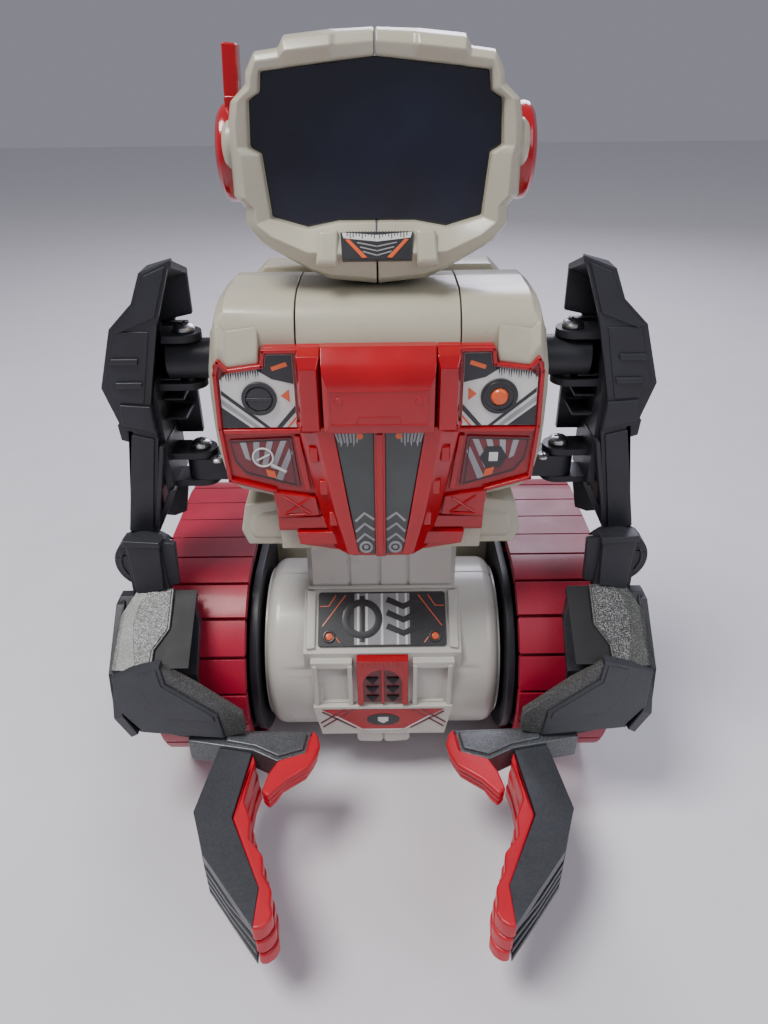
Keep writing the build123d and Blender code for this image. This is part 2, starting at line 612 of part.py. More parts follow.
for name, side in SIDES:
    pivot_x = side * arm_pivot_x

    with BuildPart() as shoulder_pad:
        channel(side, [(73, 265)] + pad_outer[1:] + pad_inner, 4, arm_front_y, arm_rear_y)
        y_slab(
            arm_front_y - 1, arm_rear_y + 1,
            flip(side, [(60, 275), (74, 275), (77.5, 263.5), (86, 240), (95, 204), (94, 180), (60, 180)]),
            Mode.SUBTRACT,
        )
        for z in (224, 214):
            block(side * 110.5, side * 118, 6, 24, z - 1, z + 1, Mode.SUBTRACT)
        above_slope = [(arm_front_y, 265), (arm_rear_y, 246), (60, 246), (60, 290), (arm_front_y, 290)]
        x_slab(span(side, 60, 130), 70, above_slope, Mode.SUBTRACT)
    save(shoulder_pad, f"shoulder_pad_{name}")

    with BuildPart() as upper_arm:
        channel(side, upper_arm_outline[1:] + upper_arm_outline[:1], 2, arm_front_y, arm_rear_y)
        rod_y(arm_front_y - 6, arm_front_y, side * elbow_x, elbow_z, elbow_radius)
        rod_y(-10, 0, side * elbow_x, elbow_z, pin_radius + running_clearance, Mode.SUBTRACT)
    save(upper_arm, f"upper_arm_{name}")

    with BuildPart() as arm_bracket:
        block(side * spine_x, side * (spine_x + 3), 1, 29, 160.7, 230.8)
        for low, high in bracket_levels:
            for z in (low, high):
                block(pivot_x, side * (spine_x + 1), arm_pivot_y - lug_radius, arm_pivot_y + lug_radius,
                      z, z + lug_thickness)
                rod_z(z, z + lug_thickness, pivot_x, arm_pivot_y, lug_radius)
                rod_z(z - 1, z + 4, pivot_x, arm_pivot_y, pin_radius + running_clearance, Mode.SUBTRACT)
        block(side * 82, side * (spine_x + 2), 25.5, 28.5, 179, 230.8)
        for z in (163, 221):
            block(side * (spine_x + 2), side * 109, 4, 26, z, z + 3)
        add(shoulder_pad.part, mode=Mode.SUBTRACT)
        add(upper_arm.part, mode=Mode.SUBTRACT)
    save(arm_bracket, f"arm_bracket_{name}")

    # Forearm: a cover over the elbow disc and a gauntlet that slopes down in front of the track.
    gauntlet_low = span(side, 84, 122)
    with BuildPart() as forearm:
        y_slab(-14, -9.3, flip(side, [(98, 113), (115.5, 113), (114.5, 143), (99, 143)]))
        x_slab(
            gauntlet_low, 38,
            [(-9.3, 113.5), (-14, 113.5), (-40.5, 89), (-46, 64), (-46, 58), (-42.5, 58), (-42.5, 64),
             (-37.5, 87), (-12.5, 110), (-9.3, 110)],
        )
        x_slab(
            span(side, 119, 123), 4,
            [(-9.3, 112), (-18, 112), (-43, 92), (-49, 64), (-46, 56), (-34, 60), (-28, 78), (-9.3, 100)],
        )
        y_slab(-60, 0, flip(side, [(84, 122), (92, 122), (84, 104)]), Mode.SUBTRACT)
        y_slab(-60, 0, flip(side, [(124, 78), (124, 50), (112, 56), (117, 62)]), Mode.SUBTRACT)
        rod_y(-12, -2.8, side * elbow_x, elbow_z, pin_radius)
        rod_y(-2.8, -1.2, side * elbow_x, elbow_z, 4.5)
    save(forearm, f"forearm_{name}")

    with BuildPart() as forearm_plate:
        x_slab(span(side, 96, 119), 23, [(-14, 113.5), (-14, 117), (-42.5, 91.5), (-40.5, 89)])
        z_slab(85, 120, flip(side, [(96, -14), (96, -27), (101, -36), (101, -45), (90, -45), (90, -14)]),
               Mode.SUBTRACT)
        z_slab(85, 120, flip(side, [(119, -14), (119, -22), (114.5, -14)]), Mode.SUBTRACT)
    save(forearm_plate, f"forearm_plate_{name}")

    with BuildPart() as wrist_guard:
        y_slab(-50, -46, flip(side, [
            (117, 88), (100, 88), (97.6, 85), (75, 72.3), (72, 72), (70.6, 58.5), (109, 62), (118.5, 76),
        ]))
        add(forearm.part, mode=Mode.SUBTRACT)
    save(wrist_guard, f"wrist_guard_{name}")

    claw_low_z = 28.0
    claw_high_z = 55.0
    with BuildPart() as palm:
        z_slab(44, 58, flip(side, [
            (92, -43), (33, -45), (34.5, -58), (47.5, -62.5), (60, -56), (76, -53), (92, -50),
        ]))
    save(palm, f"palm_{name}")

    with BuildPart() as thumb_pad:
        z_slab(45, 58, flip(side, [
            (33, -45), (30, -48), (28.5, -55), (32.5, -66), (43, -74), (49.5, -82), (53, -79), (47.5, -62.5),
            (34.5, -58),
        ]))
    save(thumb_pad, f"thumb_pad_{name}")

    finger_outline = [
        (76, -53), (60, -56), (63.5, -90), (47.5, -121), (48, -half_depth), (73, -107), (81, -87),
    ]
    with BuildPart() as finger:
        z_slab(claw_low_z, claw_high_z, flip(side, finger_outline))
        for level in range(4):
            z = claw_low_z + 3.5 + 5.5 * level
            z_slab(z, z + 2.5, flip(side, [(81, -87), (73, -107), (44, -141), (60, -141), (84, -110)]),
                   Mode.SUBTRACT)
            z_slab(z, z + 2.5, flip(side, [(78, -88), (62, -112), (48, -130), (48, -134), (72, -106)]))
    save(finger, f"finger_{name}")

    with BuildPart() as finger_pad:
        z_slab(claw_low_z + 1, claw_high_z, flip(side, [
            (60, -56), (56.3, -62), (58.5, -83), (53, -99.5), (45.3, -114.7), (41, -126.6), (39, -135),
            (44, -half_depth), (48, -half_depth), (47.5, -121), (63.5, -90),
        ]))
    save(finger_pad, f"finger_pad_{name}")

with BuildPart() as screws:
    for x in (-46, 46):
        rod_y(backpack_rear_y, backpack_rear_y + 1.4, x, 190, 3)
        rod_y(backpack_rear_y, backpack_rear_y + 1.4, x, 234, 3)
save(screws, "screws")
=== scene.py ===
import json
from math import cos, pi, radians, sin

import bmesh
import bpy
from mathutils import Matrix, Vector


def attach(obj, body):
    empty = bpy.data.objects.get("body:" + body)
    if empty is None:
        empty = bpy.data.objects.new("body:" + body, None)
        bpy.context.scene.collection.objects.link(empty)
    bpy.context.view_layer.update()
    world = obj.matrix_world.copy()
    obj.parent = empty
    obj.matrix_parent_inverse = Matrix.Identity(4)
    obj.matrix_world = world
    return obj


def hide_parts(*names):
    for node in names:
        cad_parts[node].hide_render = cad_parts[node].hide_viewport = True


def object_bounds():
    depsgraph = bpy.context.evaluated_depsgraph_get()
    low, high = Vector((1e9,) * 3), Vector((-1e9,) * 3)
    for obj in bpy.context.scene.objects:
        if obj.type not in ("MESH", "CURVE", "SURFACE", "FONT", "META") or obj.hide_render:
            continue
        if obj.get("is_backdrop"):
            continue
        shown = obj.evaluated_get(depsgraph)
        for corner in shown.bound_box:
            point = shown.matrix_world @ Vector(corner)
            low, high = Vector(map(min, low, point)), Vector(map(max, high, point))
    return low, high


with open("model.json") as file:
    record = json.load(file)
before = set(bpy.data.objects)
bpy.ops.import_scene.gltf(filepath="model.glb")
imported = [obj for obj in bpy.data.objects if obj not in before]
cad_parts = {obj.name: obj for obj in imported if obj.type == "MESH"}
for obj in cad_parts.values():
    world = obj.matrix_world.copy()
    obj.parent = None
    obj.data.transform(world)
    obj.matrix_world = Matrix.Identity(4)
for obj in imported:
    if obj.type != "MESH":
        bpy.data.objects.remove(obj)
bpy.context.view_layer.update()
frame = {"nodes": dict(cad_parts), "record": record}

MM = 0.001
SIDES = (("left", -1), ("right", 1))


# ---- camera, floor and light --------------------------------------------------------
CAMERA_AT = (0.0015, -0.2885, 0.330)
CAMERA_PITCH = radians(32)
CAMERA_ROLL = radians(-0.6)
LENS_MM = 26.2
SENSOR_MM = 36
SKY_COLOUR = (0.74, 0.74, 0.86, 1)
SKY_STRENGTH = 0.33
# Name, place and target in metres, diameter in metres, power in watts, colour.
LIGHTS = (
    ("key", (-0.45, -0.25, 1.25), (0, 0, 0.12), 0.5, 15, (1.0, 0.98, 0.96)),
    ("fill", (0.8, -0.7, 0.9), (0, 0, 0.15), 0.9, 5, (0.94, 0.95, 1.0)),
    ("rim", (0.2, 1.0, 0.8), (0, 0, 0.2), 0.6, 7, (0.86, 0.84, 1.0)),
)
FLOOR_REACH = 3.0


def add_camera():
    """A camera level with the robot's head, looking down at it from close by."""
    data = bpy.data.cameras.new("camera")
    data.sensor_fit = "VERTICAL"
    data.sensor_height = SENSOR_MM
    data.lens = LENS_MM
    camera = bpy.data.objects.new("camera", data)
    camera.location = CAMERA_AT
    turn = Matrix.Rotation(pi / 2 - CAMERA_PITCH, 4, "X") @ Matrix.Rotation(CAMERA_ROLL, 4, "Z")
    camera.rotation_euler = turn.to_euler()
    bpy.context.collection.objects.link(camera)
    bpy.context.scene.camera = camera


def add_area_light(name, place, target, size, power, colour):
    data = bpy.data.lights.new(name, "AREA")
    data.shape = "DISK"
    data.size = size
    data.energy = power
    data.color = colour
    light = bpy.data.objects.new(name, data)
    light.location = place
    aim = Vector(target) - Vector(place)
    light.rotation_euler = aim.to_track_quat("-Z", "Y").to_euler()
    bpy.context.collection.objects.link(light)


def add_studio():
    world = bpy.data.worlds.new("studio")
    world.use_nodes = True
    background = world.node_tree.nodes["Background"]
    background.inputs["Color"].default_value = SKY_COLOUR
    background.inputs["Strength"].default_value = SKY_STRENGTH
    bpy.context.scene.world = world
    for light in LIGHTS:
        add_area_light(*light)


# ---- materials ----------------------------------------------------------------------
CLOUD_SCALE = 28
SMEAR_SCALE = 70
SPECK_SCALE = 900
SPARKLE_SCALE = 3400
BUMP_METRES = 0.0004
COAT_ROUGHNESS = 0.12
SCATTER_METRES = 0.002
DUST_COLOUR = (0.62, 0.6, 0.6, 1)
DUST_FROM = 0.3
MIX_A, MIX_B, MIX_OUT = 6, 7, 2


def ramp_between(tree, source, low, high, colour_low, colour_high):
    """A colour ramp from one colour to another over part of a 0 to 1 input."""
    ramp = tree.nodes.new("ShaderNodeValToRGB")
    ramp.color_ramp.elements[0].position = low
    ramp.color_ramp.elements[1].position = high
    ramp.color_ramp.elements[0].color = (*colour_low, 1)
    ramp.color_ramp.elements[1].color = (*colour_high, 1)
    tree.links.new(source, ramp.inputs["Fac"])
    return ramp.outputs["Color"]


def noise_output(tree, coords, scale, detail):
    noise = tree.nodes.new("ShaderNodeTexNoise")
    noise.inputs["Scale"].default_value = scale
    noise.inputs["Detail"].default_value = detail
    tree.links.new(coords, noise.inputs["Vector"])
    return noise.outputs["Fac"]


def remap(tree, source, low, high, from_low=0.0):
    range_node = tree.nodes.new("ShaderNodeMapRange")
    range_node.inputs["From Min"].default_value = from_low
    range_node.inputs["To Min"].default_value = low
    range_node.inputs["To Max"].default_value = high
    tree.links.new(source, range_node.inputs["Value"])
    return range_node.outputs["Result"]


def colour_mix(tree, blend, first, second):
    """Blend two colours; each is a socket's output or a plain colour."""
    mix = tree.nodes.new("ShaderNodeMix")
    mix.data_type = "RGBA"
    mix.blend_type = blend
    for slot, value in ((MIX_A, first), (MIX_B, second)):
        if isinstance(value, tuple):
            mix.inputs[slot].default_value = value
        else:
            tree.links.new(value, mix.inputs[slot])
    return mix


def moulded(name, colour, rough, vary=0.12, grain=0.05, grain_scale=1800, coat=0.0, metal=0.0,
            flake=0.0, dust=0.04, soften=0.0):
    """Moulded plastic: cloudy colour, uneven gloss, fine grain, light dust on upper faces."""
    material = bpy.data.materials.new(name)
    material.use_nodes = True
    tree = material.node_tree
    shader = tree.nodes["Principled BSDF"]
    coords = tree.nodes.new("ShaderNodeTexCoord")
    place = coords.outputs["Object"]
    darker = tuple(c * (1 - vary) for c in colour)
    lighter = tuple(min(1, c * (1 + vary)) for c in colour)
    base = ramp_between(tree, noise_output(tree, place, CLOUD_SCALE, 5), 0.3, 0.7, darker, lighter)
    if flake:
        cells = tree.nodes.new("ShaderNodeTexVoronoi")
        cells.inputs["Scale"].default_value = SPARKLE_SCALE
        tree.links.new(place, cells.inputs["Vector"])
        split = tree.nodes.new("ShaderNodeSeparateColor")
        tree.links.new(cells.outputs["Color"], split.inputs["Color"])
        sparkle = ramp_between(tree, split.outputs["Red"], 0.55, 1.0, (0, 0, 0),
                               (flake, flake, flake * 1.04))
        added = colour_mix(tree, "ADD", base, sparkle)
        added.inputs["Factor"].default_value = 1.0
        base = added.outputs[MIX_OUT]
    up = tree.nodes.new("ShaderNodeSeparateXYZ")
    tree.links.new(coords.outputs["Normal"], up.inputs["Vector"])
    settle = tree.nodes.new("ShaderNodeMath")
    settle.operation = "MULTIPLY"
    tree.links.new(up.outputs["Z"], settle.inputs[0])
    tree.links.new(noise_output(tree, place, SPECK_SCALE, 3), settle.inputs[1])
    dusty = colour_mix(tree, "MIX", base, DUST_COLOUR)
    tree.links.new(remap(tree, settle.outputs[0], 0, dust, DUST_FROM), dusty.inputs["Factor"])
    tree.links.new(dusty.outputs[MIX_OUT], shader.inputs["Base Color"])
    smear = noise_output(tree, place, SMEAR_SCALE, 6)
    tree.links.new(remap(tree, smear, max(0.02, rough - 0.1), rough + 0.12), shader.inputs["Roughness"])
    bump = tree.nodes.new("ShaderNodeBump")
    bump.inputs["Strength"].default_value = grain
    bump.inputs["Distance"].default_value = BUMP_METRES
    tree.links.new(noise_output(tree, place, grain_scale, 2), bump.inputs["Height"])
    tree.links.new(bump.outputs["Normal"], shader.inputs["Normal"])
    shader.inputs["Metallic"].default_value = metal
    shader.inputs["Coat Weight"].default_value = coat
    shader.inputs["Coat Roughness"].default_value = COAT_ROUGHNESS
    shader.inputs["Subsurface Weight"].default_value = soften
    shader.inputs["Subsurface Scale"].default_value = SCATTER_METRES
    return material


CASING = dict(rough=0.3, grain=0.06, grain_scale=1500, coat=0.25, soften=0.1)
PRINT = dict(rough=0.35, grain=0.05, grain_scale=900, coat=0.2)
LOOK_VALUES = {
    "cream_plastic": dict(CASING, colour=(0.485, 0.455, 0.35), vary=0.06),
    "red_plastic": dict(colour=(0.4, 0.001, 0.007), rough=0.2, vary=0.16, grain=0.03, grain_scale=900,
                        coat=0.45, dust=0.006),
    "black_plastic": dict(colour=(0.02, 0.021, 0.027), rough=0.42, vary=0.3, grain=0.16, grain_scale=2600),
    "track_rubber": dict(colour=(0.34, 0.005, 0.028), rough=0.42, vary=0.2, grain=0.12, grain_scale=1400,
                         coat=0.1, dust=0.03),
    "grey_flake": dict(colour=(0.075, 0.082, 0.088), rough=0.34, vary=0.14, grain=0.08, grain_scale=2400,
                       coat=0.25, metal=0.4, flake=0.1),
    "silver_flake": dict(colour=(0.05, 0.052, 0.048), rough=0.46, vary=0.14, grain=0.08, grain_scale=2400,
                         coat=0.15, metal=0.2, flake=0.12, dust=0.02),
    "grain_flake": dict(colour=(0.036, 0.038, 0.034), rough=0.44, vary=0.16, grain=0.5, grain_scale=2200,
                        coat=0.1, metal=0.3, flake=0.34, dust=0.02),
    "white_plastic": dict(CASING, colour=(0.56, 0.545, 0.49), vary=0.05),
    "dark_grey": dict(colour=(0.038, 0.042, 0.05), rough=0.4, vary=0.16, grain=0.12, grain_scale=2400,
                      coat=0.12, metal=0.2, flake=0.02),
    "red_rubber": dict(colour=(0.54, 0.002, 0.017), rough=0.42, vary=0.1, grain=0.14, grain_scale=1200,
                       coat=0.1, dust=0.012),
    "screen_gloss": dict(colour=(0.004, 0.005, 0.016), rough=0.12, vary=0.5, grain=0.0, grain_scale=600,
                         coat=0.9, dust=0.004),
    "window_grey": dict(colour=(0.034, 0.04, 0.038), rough=0.2, vary=0.4, grain=0.04, grain_scale=700,
                        coat=0.6, dust=0.01),
    "label_print": dict(PRINT, colour=(0.025, 0.025, 0.028), vary=0.3),
    "print_white": dict(PRINT, colour=(0.7, 0.69, 0.66), vary=0.1),
    # Maroon: print on the labels and bumper, and also painted shade on the floor of the vent's recess.
    "print_maroon": dict(colour=(0.16, 0.022, 0.028), rough=0.32, vary=0.3, grain=0.05, grain_scale=900,
                         coat=0.3, dust=0.02),
    "print_grey": dict(PRINT, colour=(0.3, 0.3, 0.31), vary=0.35),
    "print_orange": dict(colour=(0.75, 0.12, 0.03), rough=0.3, vary=0.12, grain=0.04, grain_scale=900,
                         coat=0.3),
    "steel": dict(colour=(0.5, 0.5, 0.51), rough=0.28, vary=0.15, grain=0.1, grain_scale=3000, coat=0.0,
                  metal=1.0),
    "cell_metal": dict(colour=(0.25, 0.3, 0.28), rough=0.3, vary=0.15, grain=0.05, grain_scale=900,
                       coat=0.1, metal=0.6),
    "wheel_grey": dict(colour=(0.06, 0.062, 0.07), rough=0.5, vary=0.2, grain=0.15, grain_scale=1800),
    "board_green": dict(colour=(0.02, 0.13, 0.05), rough=0.4, vary=0.25, grain=0.1, grain_scale=700,
                        coat=0.2),
    "speaker_black": dict(colour=(0.015, 0.015, 0.016), rough=0.6, vary=0.3, grain=0.3, grain_scale=900),
    # Near-black painted shade for holes and recesses: screw cross recesses, vent openings and the hollow
    # beside the forearm's flake plate.
    "hollow_black": dict(colour=(0.006, 0.006, 0.008), rough=0.6, vary=0.3, grain=0.1, grain_scale=900,
                         dust=0.0),
    "floor": dict(colour=(0.77, 0.75, 0.79), rough=0.4, vary=0.02, grain=0.01, grain_scale=300, dust=0.0),
}
LOOKS = {name: moulded(name, **values) for name, values in LOOK_VALUES.items()}


def add_floor():
    mesh = bpy.data.meshes.new("floor")
    corners = [(x * FLOOR_REACH, y * FLOOR_REACH, 0) for x, y in ((-1, -1), (1, -1), (1, 1), (-1, 1))]
    mesh.from_pydata(corners, [], [(0, 1, 2, 3)])
    mesh.materials.append(LOOKS["floor"])
    floor = bpy.data.objects.new("floor", mesh)
    bpy.context.collection.objects.link(floor)
    floor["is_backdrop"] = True


# ---- shapes, in millimetres ---------------------------------------------------------
def loft(mesh, rings):
    """Close a stack of equal rings of points into one solid."""
    rows = [[mesh.verts.new(point) for point in ring] for ring in rings]
    count = len(rows[0])
    for low, high in zip(rows, rows[1:]):
        for i in range(count):
            j = (i + 1) % count
            mesh.faces.new((low[i], low[j], high[j], high[i]))
    mesh.faces.new(rows[0][::-1])
    mesh.faces.new(rows[-1])


AXES = {
    "x": (Vector((0, 1, 0)), Vector((0, 0, 1)), Vector((1, 0, 0))),
    "y": (Vector((1, 0, 0)), Vector((0, 0, 1)), Vector((0, 1, 0))),
    "z": (Vector((1, 0, 0)), Vector((0, 1, 0)), Vector((0, 0, 1))),
}
NOWHERE = Vector((0, 0, 0))


def place(point, depth, axis, origin=NOWHERE):
    across, up, out = AXES[axis] if isinstance(axis, str) else axis
    return Vector(origin) + across * point[0] + up * point[1] + out * depth


def prism(mesh, outline, low, high, axis, origin=NOWHERE):
    """Extrude an outline between two depths along an axis, or out of a sloping plane."""
    loft(mesh, [[place(point, depth, axis, origin) for point in outline] for depth in (low, high)])


def steps(mesh, layers, axis, origin=NOWHERE):
    """Loft outlines of equal count, each at its own depth."""
    loft(mesh, [[place(point, depth, axis, origin) for point in outline] for depth, outline in layers])


def arc(centre, radius, start, stop, count):
    """Points on a circle between two angles in degrees."""
    points = []
    for i in range(count + 1):
        angle = radians(start + (stop - start) * i / count)
        points.append((centre[0] + radius * cos(angle), centre[1] + radius * sin(angle)))
    return points


def circle(centre, radius, count=32):
    return arc(centre, radius, 0, 360 - 360 / count, count - 1)


def rectangle(x0, x1, z0, z1):
    return [(x0, z0), (x1, z0), (x1, z1), (x0, z1)]


def flip(side, outline):
    return [(side * a, b) for a, b in outline]


def plate(mesh, side, outline, low, high, axis="y"):
    """Extrude the outline drawn for the right half on either side of the robot."""
    prism(mesh, flip(side, outline), low, high, axis)


def slanted(rise_y, rise_z):
    """The axes of a plane that runs along x and climbs by these amounts."""
    across = Vector((1, 0, 0))
    up = Vector((0, rise_y, rise_z)).normalized()
    return across, up, across.cross(up)


def between(start, end, share):
    """The point that lies a share of the way from start to end."""
    return start[0] + (end[0] - start[0]) * share, start[1] + (end[1] - start[1]) * share


def turned(mesh, profile, axis, centre, count=40, origin=NOWHERE):
    """Turn a profile of (depth, radius) about an axis through a centre."""
    steps(mesh, [(depth, circle(centre, radius, count)) for depth, radius in profile], axis, origin)


def washer(mesh, centre, inner, outer, low, high, axis, origin=NOWHERE, count=32):
    """A flat ring, made as one closed band."""
    rings = []
    for i in range(count):
        angle = radians(360 * i / count)
        section = []
        for radius, depth in ((inner, low), (outer, low), (outer, high), (inner, high)):
            point = (centre[0] + radius * cos(angle), centre[1] + radius * sin(angle))
            section.append(mesh.verts.new(place(point, depth, axis, origin)))
        rings.append(section)
    for i in range(count):
        here, after = rings[i], rings[(i + 1) % count]
        for a in range(4):
            b = (a + 1) % 4
            mesh.faces.new((here[a], here[b], after[b], after[a]))


def ribbon(line, width):
    """A closed outline that runs along an open line of points at an even width."""
    left, right = [], []
    for i, point in enumerate(line):
        before = Vector(line[max(i - 1, 0)])
        after = Vector(line[min(i + 1, len(line) - 1)])
        along = (after - before).normalized()
        across = Vector((-along.y, along.x)) * width / 2
        left.append(tuple(Vector(point) + across))
        right.append(tuple(Vector(point) - across))
    return left + right[::-1]


def bars(line, width):
    """Straight bars, one outline for each segment of a line, that overlap at the corners."""
    outlines = []
    for start, end in zip(line, line[1:]):
        start, end = Vector(start), Vector(end)
        along = (end - start).normalized() * width / 2
        across = Vector((-along.y, along.x))
        outlines.append([tuple(p) for p in (start - along + across, start - along - across,
                                            end + along - across, end + along + across)])
    return outlines


def piece(name, mesh, body, look, bevel=0.5, replaces=(), segments=2):
    """Finish a solid in millimetres as an object that rides on a body."""
    bmesh.ops.recalc_face_normals(mesh, faces=mesh.faces)
    bmesh.ops.scale(mesh, vec=(MM, MM, MM), verts=mesh.verts)
    data = bpy.data.meshes.new(name)
    mesh.to_mesh(data)
    mesh.free()
    data.materials.append(LOOKS[look])
    obj = bpy.data.objects.new(name, data)
    bpy.context.collection.objects.link(obj)
    round_edges(obj, bevel, segments)
    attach(obj, body)
    if replaces:
        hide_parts(*replaces)


SHARP = radians(28)
FLAT = radians(1.0)
WELD_METRES = 0.00002


def round_edges(obj, width, segments=2):
    obj.data.shade_smooth()
    if width:
        bevel = obj.modifiers.new("edges", "BEVEL")
        bevel.width = width * MM
        bevel.segments = segments
        bevel.limit_method = "ANGLE"
        bevel.angle_limit = SHARP
        bevel.use_clamp_overlap = True
    smooth = obj.modifiers.new("shading", "WEIGHTED_NORMAL")
    smooth.keep_sharp = True


def finish_node(name, look, bevel):
    """Give a kept CAD node its material, its rounded edges and clean shading."""
    node = frame["nodes"][name]
    node.data.materials.clear()
    node.data.materials.append(LOOKS[look])
    if bevel:
        weld = node.modifiers.new("weld", "WELD")
        weld.merge_threshold = WELD_METRES
        flatten = node.modifiers.new("flatten", "DECIMATE")
        flatten.decimate_type = "DISSOLVE"
        flatten.angle_limit = FLAT
        round_edges(node, bevel)


def print_on(name, body, look, shapes, depth, axis, origin=NOWHERE, rise=0.15):
    """Thin printed shapes on a face; depth is the face and rise stands towards the viewer."""
    mesh = bmesh.new()
    for shape in shapes:
        prism(mesh, shape, depth, depth + rise, axis, origin)
    piece(name, mesh, body, look, 0)


# ---- head ---------------------------------------------------------------------------
# One row per facet edge of the bezel's right half: outer corner, screen corner, where the
# crest lies between them, and how far forward it stands.
BEZEL = [
    ((0, 335.5), (0, 327.6), 0.5, -3.2), ((13, 335.0), (13, 326.4), 0.5, -3.2),
    ((14.5, 335.0), (14.5, 326.2), 0.5, -5.2), ((30, 333.5), (29, 324.7), 0.5, -5.2),
    ((32, 330.0), (31, 324.3), 0.5, -3.2), ((40, 329.0), (38.7, 323.4), 0.5, -3.4),
    ((43.5, 323.5), (39.1, 320.5), 0.5, -3.4), ((44, 319.5), (39.5, 317.3), 0.5, -3.6),
    ((49.5, 314.5), (43.5, 315.0), 0.5, -3.6), ((51, 308.0), (44.0, 308.0), 0.55, -4.0),
    ((51.2, 301.0), (44.4, 300.4), 0.55, -4.2), ((51.3, 297.5), (40.5, 298.2), 0.6, -5.0),
    ((51.5, 284.5), (39.3, 285.0), 0.6, -5.6), ((48.3, 281.0), (38.9, 281.0), 0.5, -4.6),
    ((48.3, 274.5), (38.6, 277.0), 0.5, -5.0), ((43.5, 268.0), (33, 275.4), 0.5, -6.0),
    ((25.5, 257.8), (25.7, 273.3), 0.45, -7.2), ((18.2, 254.5), (14.2, 275.4), 0.45, -8.0),
    ((0, 252.7), (0, 275.4), 0.45, -8.0),
]
SEAM = 0.3
HEAD_BACK = 50
HEAD_MIDDLE_Z = 294
EAR_AT = (24, 296)


def about_middle(z, scale):
    """Scale a height about the head's middle."""
    return HEAD_MIDDLE_Z + (z - HEAD_MIDDLE_Z) * scale


def head_half(label, side):
    """One moulded half, lofted through the facet edges from the top of the seam to its foot."""
    mesh = bmesh.new()
    sections = []
    for i, (outer, screen, share, crest_y) in enumerate(BEZEL):
        t = i / (len(BEZEL) - 1)
        crest = between(screen, outer, share)
        brow = between(screen, outer, 0.86)
        inner = between(screen, outer, 0.08)
        rear = (outer[0] * 0.84, about_middle(outer[1], 0.82))
        core = 322 - 42 * t
        section = [
            (screen, 2.2), (screen, -1.2), (inner, -2.2), (crest, crest_y), (brow, crest_y * 0.45),
            (outer, 1.5), (outer, 15), ((outer[0] * 0.985, outer[1]), 16),
            ((outer[0] * 0.985, outer[1]), 30),
            ((outer[0] * 0.96, about_middle(outer[1], 0.97)), 41), (rear, HEAD_BACK),
            ((0, core), HEAD_BACK), ((0, core), 5.5),
            ((screen[0] * 0.9, about_middle(screen[1], 0.9)), 5.5),
        ]
        sections.append([(side * max(x, SEAM), y, z) for (x, z), y in section])
    loft(mesh, sections)
    piece(f"head_half_{label}", mesh, "head", "cream_plastic", bevel=0.7, replaces=[f"head_shell_{label}"])


for label, sign in SIDES:
    head_half(label, sign)

hubs = bmesh.new()
for _, sign in SIDES:
    turned(hubs, [(sign * 45, 8), (sign * 52.4, 8), (sign * 54.0, 6.4), (sign * 54.8, 3)], "x", (8, 300.5))
    turned(hubs, [(sign * 45, 15.0), (sign * 51.6, 15.0), (sign * 52.4, 14.0)], "x", EAR_AT)
piece("ear_hubs", hubs, "head", "cream_plastic", bevel=0.4)

ears = bmesh.new()
EAR = [(48, 16.0), (52, 16.6), (54.5, 17.0), (56.4, 16.6), (58.0, 14.6), (59.0, 11.0), (59.1, 7.5),
       (58.3, 6.8), (58.2, 3.0)]
for _, sign in SIDES:
    turned(ears, [(sign * x, radius) for x, radius in EAR], "x", EAR_AT, 56)
piece("ear_domes", ears, "head", "red_plastic", bevel=0.35, replaces=["ear_cups"])

blade = bmesh.new()
prism(blade, [(-54.8, 306), (-50.0, 306), (-49.4, 316.5), (-48.6, 331.4), (-54.0, 332), (-54.9, 317)],
      20, 28, "y")
prism(blade, [(-54.4, 304), (-49.6, 304), (-49.8, 315.5), (-54.8, 315.5)], 18, 30, "y")
piece("antenna_blade", blade, "head", "red_plastic", bevel=0.8, replaces=["antenna"])

# The chin plate lies on the slope between the screen's lower edge and the chin's crest.
CHIN = slanted(4.8, 8.8)
CHIN_AT = (0, -6.1, 268.2)
chin = bmesh.new()
prism(chin, [(-13.4, 4.9), (13.4, 4.9), (12.8, -5.2), (-12.8, -5.2)], -2.0, 0.9, CHIN, CHIN_AT)
piece("chin_label", chin, "head", "label_print", bevel=0.3, replaces=["chin_plate"])
bosses = bmesh.new()
for _, sign in SIDES:
    low = [(14.0, 5.8), (21.6, 5.6), (22.6, -7.0), (14.6, -7.2)]
    high = [(14.8, 4.8), (20.6, 4.6), (21.4, -5.6), (15.4, -5.8)]
    steps(bosses, [(-3, flip(sign, low)), (0.3, flip(sign, low)), (1.7, flip(sign, high))], CHIN, CHIN_AT)
piece("chin_bosses", bosses, "head", "cream_plastic", bevel=0.9)
band = [flip(sign, [(12.8, 4.6), (0, 3.6), (0, 1.3), (12.2, 2.6)]) for sign in (-1, 1)]
print_on("chin_band", "head", "print_white", band, 0.9, CHIN, origin=CHIN_AT, rise=0.12)
hatch = []
for sign in (-1, 1):
    for x in (0.8, 1.9, 3.0, 4.1, 5.2, 6.3, 7.4, 8.5, 9.6, 10.7):
        tip = 2.2 + 1.2 * abs(cos(2.1 * x))
        hatch.append(flip(sign, [(x, 5), (x + 0.4, 5), (x + 0.3, tip), (x, tip)]))
print_on("chin_hatching", "head", "label_print", hatch, 0.95, CHIN, origin=CHIN_AT, rise=0.14)
chevrons = []
for k in range(3):
    drop = 1.6 * k
    chevrons += bars([(-7.0 + k, 0.9 - drop), (0, -0.5 - drop), (7.0 - k, 0.9 - drop)], 0.45)
print_on("chin_chevrons", "head", "print_grey", chevrons, 0.9, CHIN, origin=CHIN_AT)
slashes = [flip(sign, [(11.6, 2.0), (10.2, 2.2), (3.6, -4.4), (5.4, -4.6)]) for sign in (-1, 1)]
print_on("chin_slashes", "head", "print_orange", slashes, 0.95, CHIN, origin=CHIN_AT)

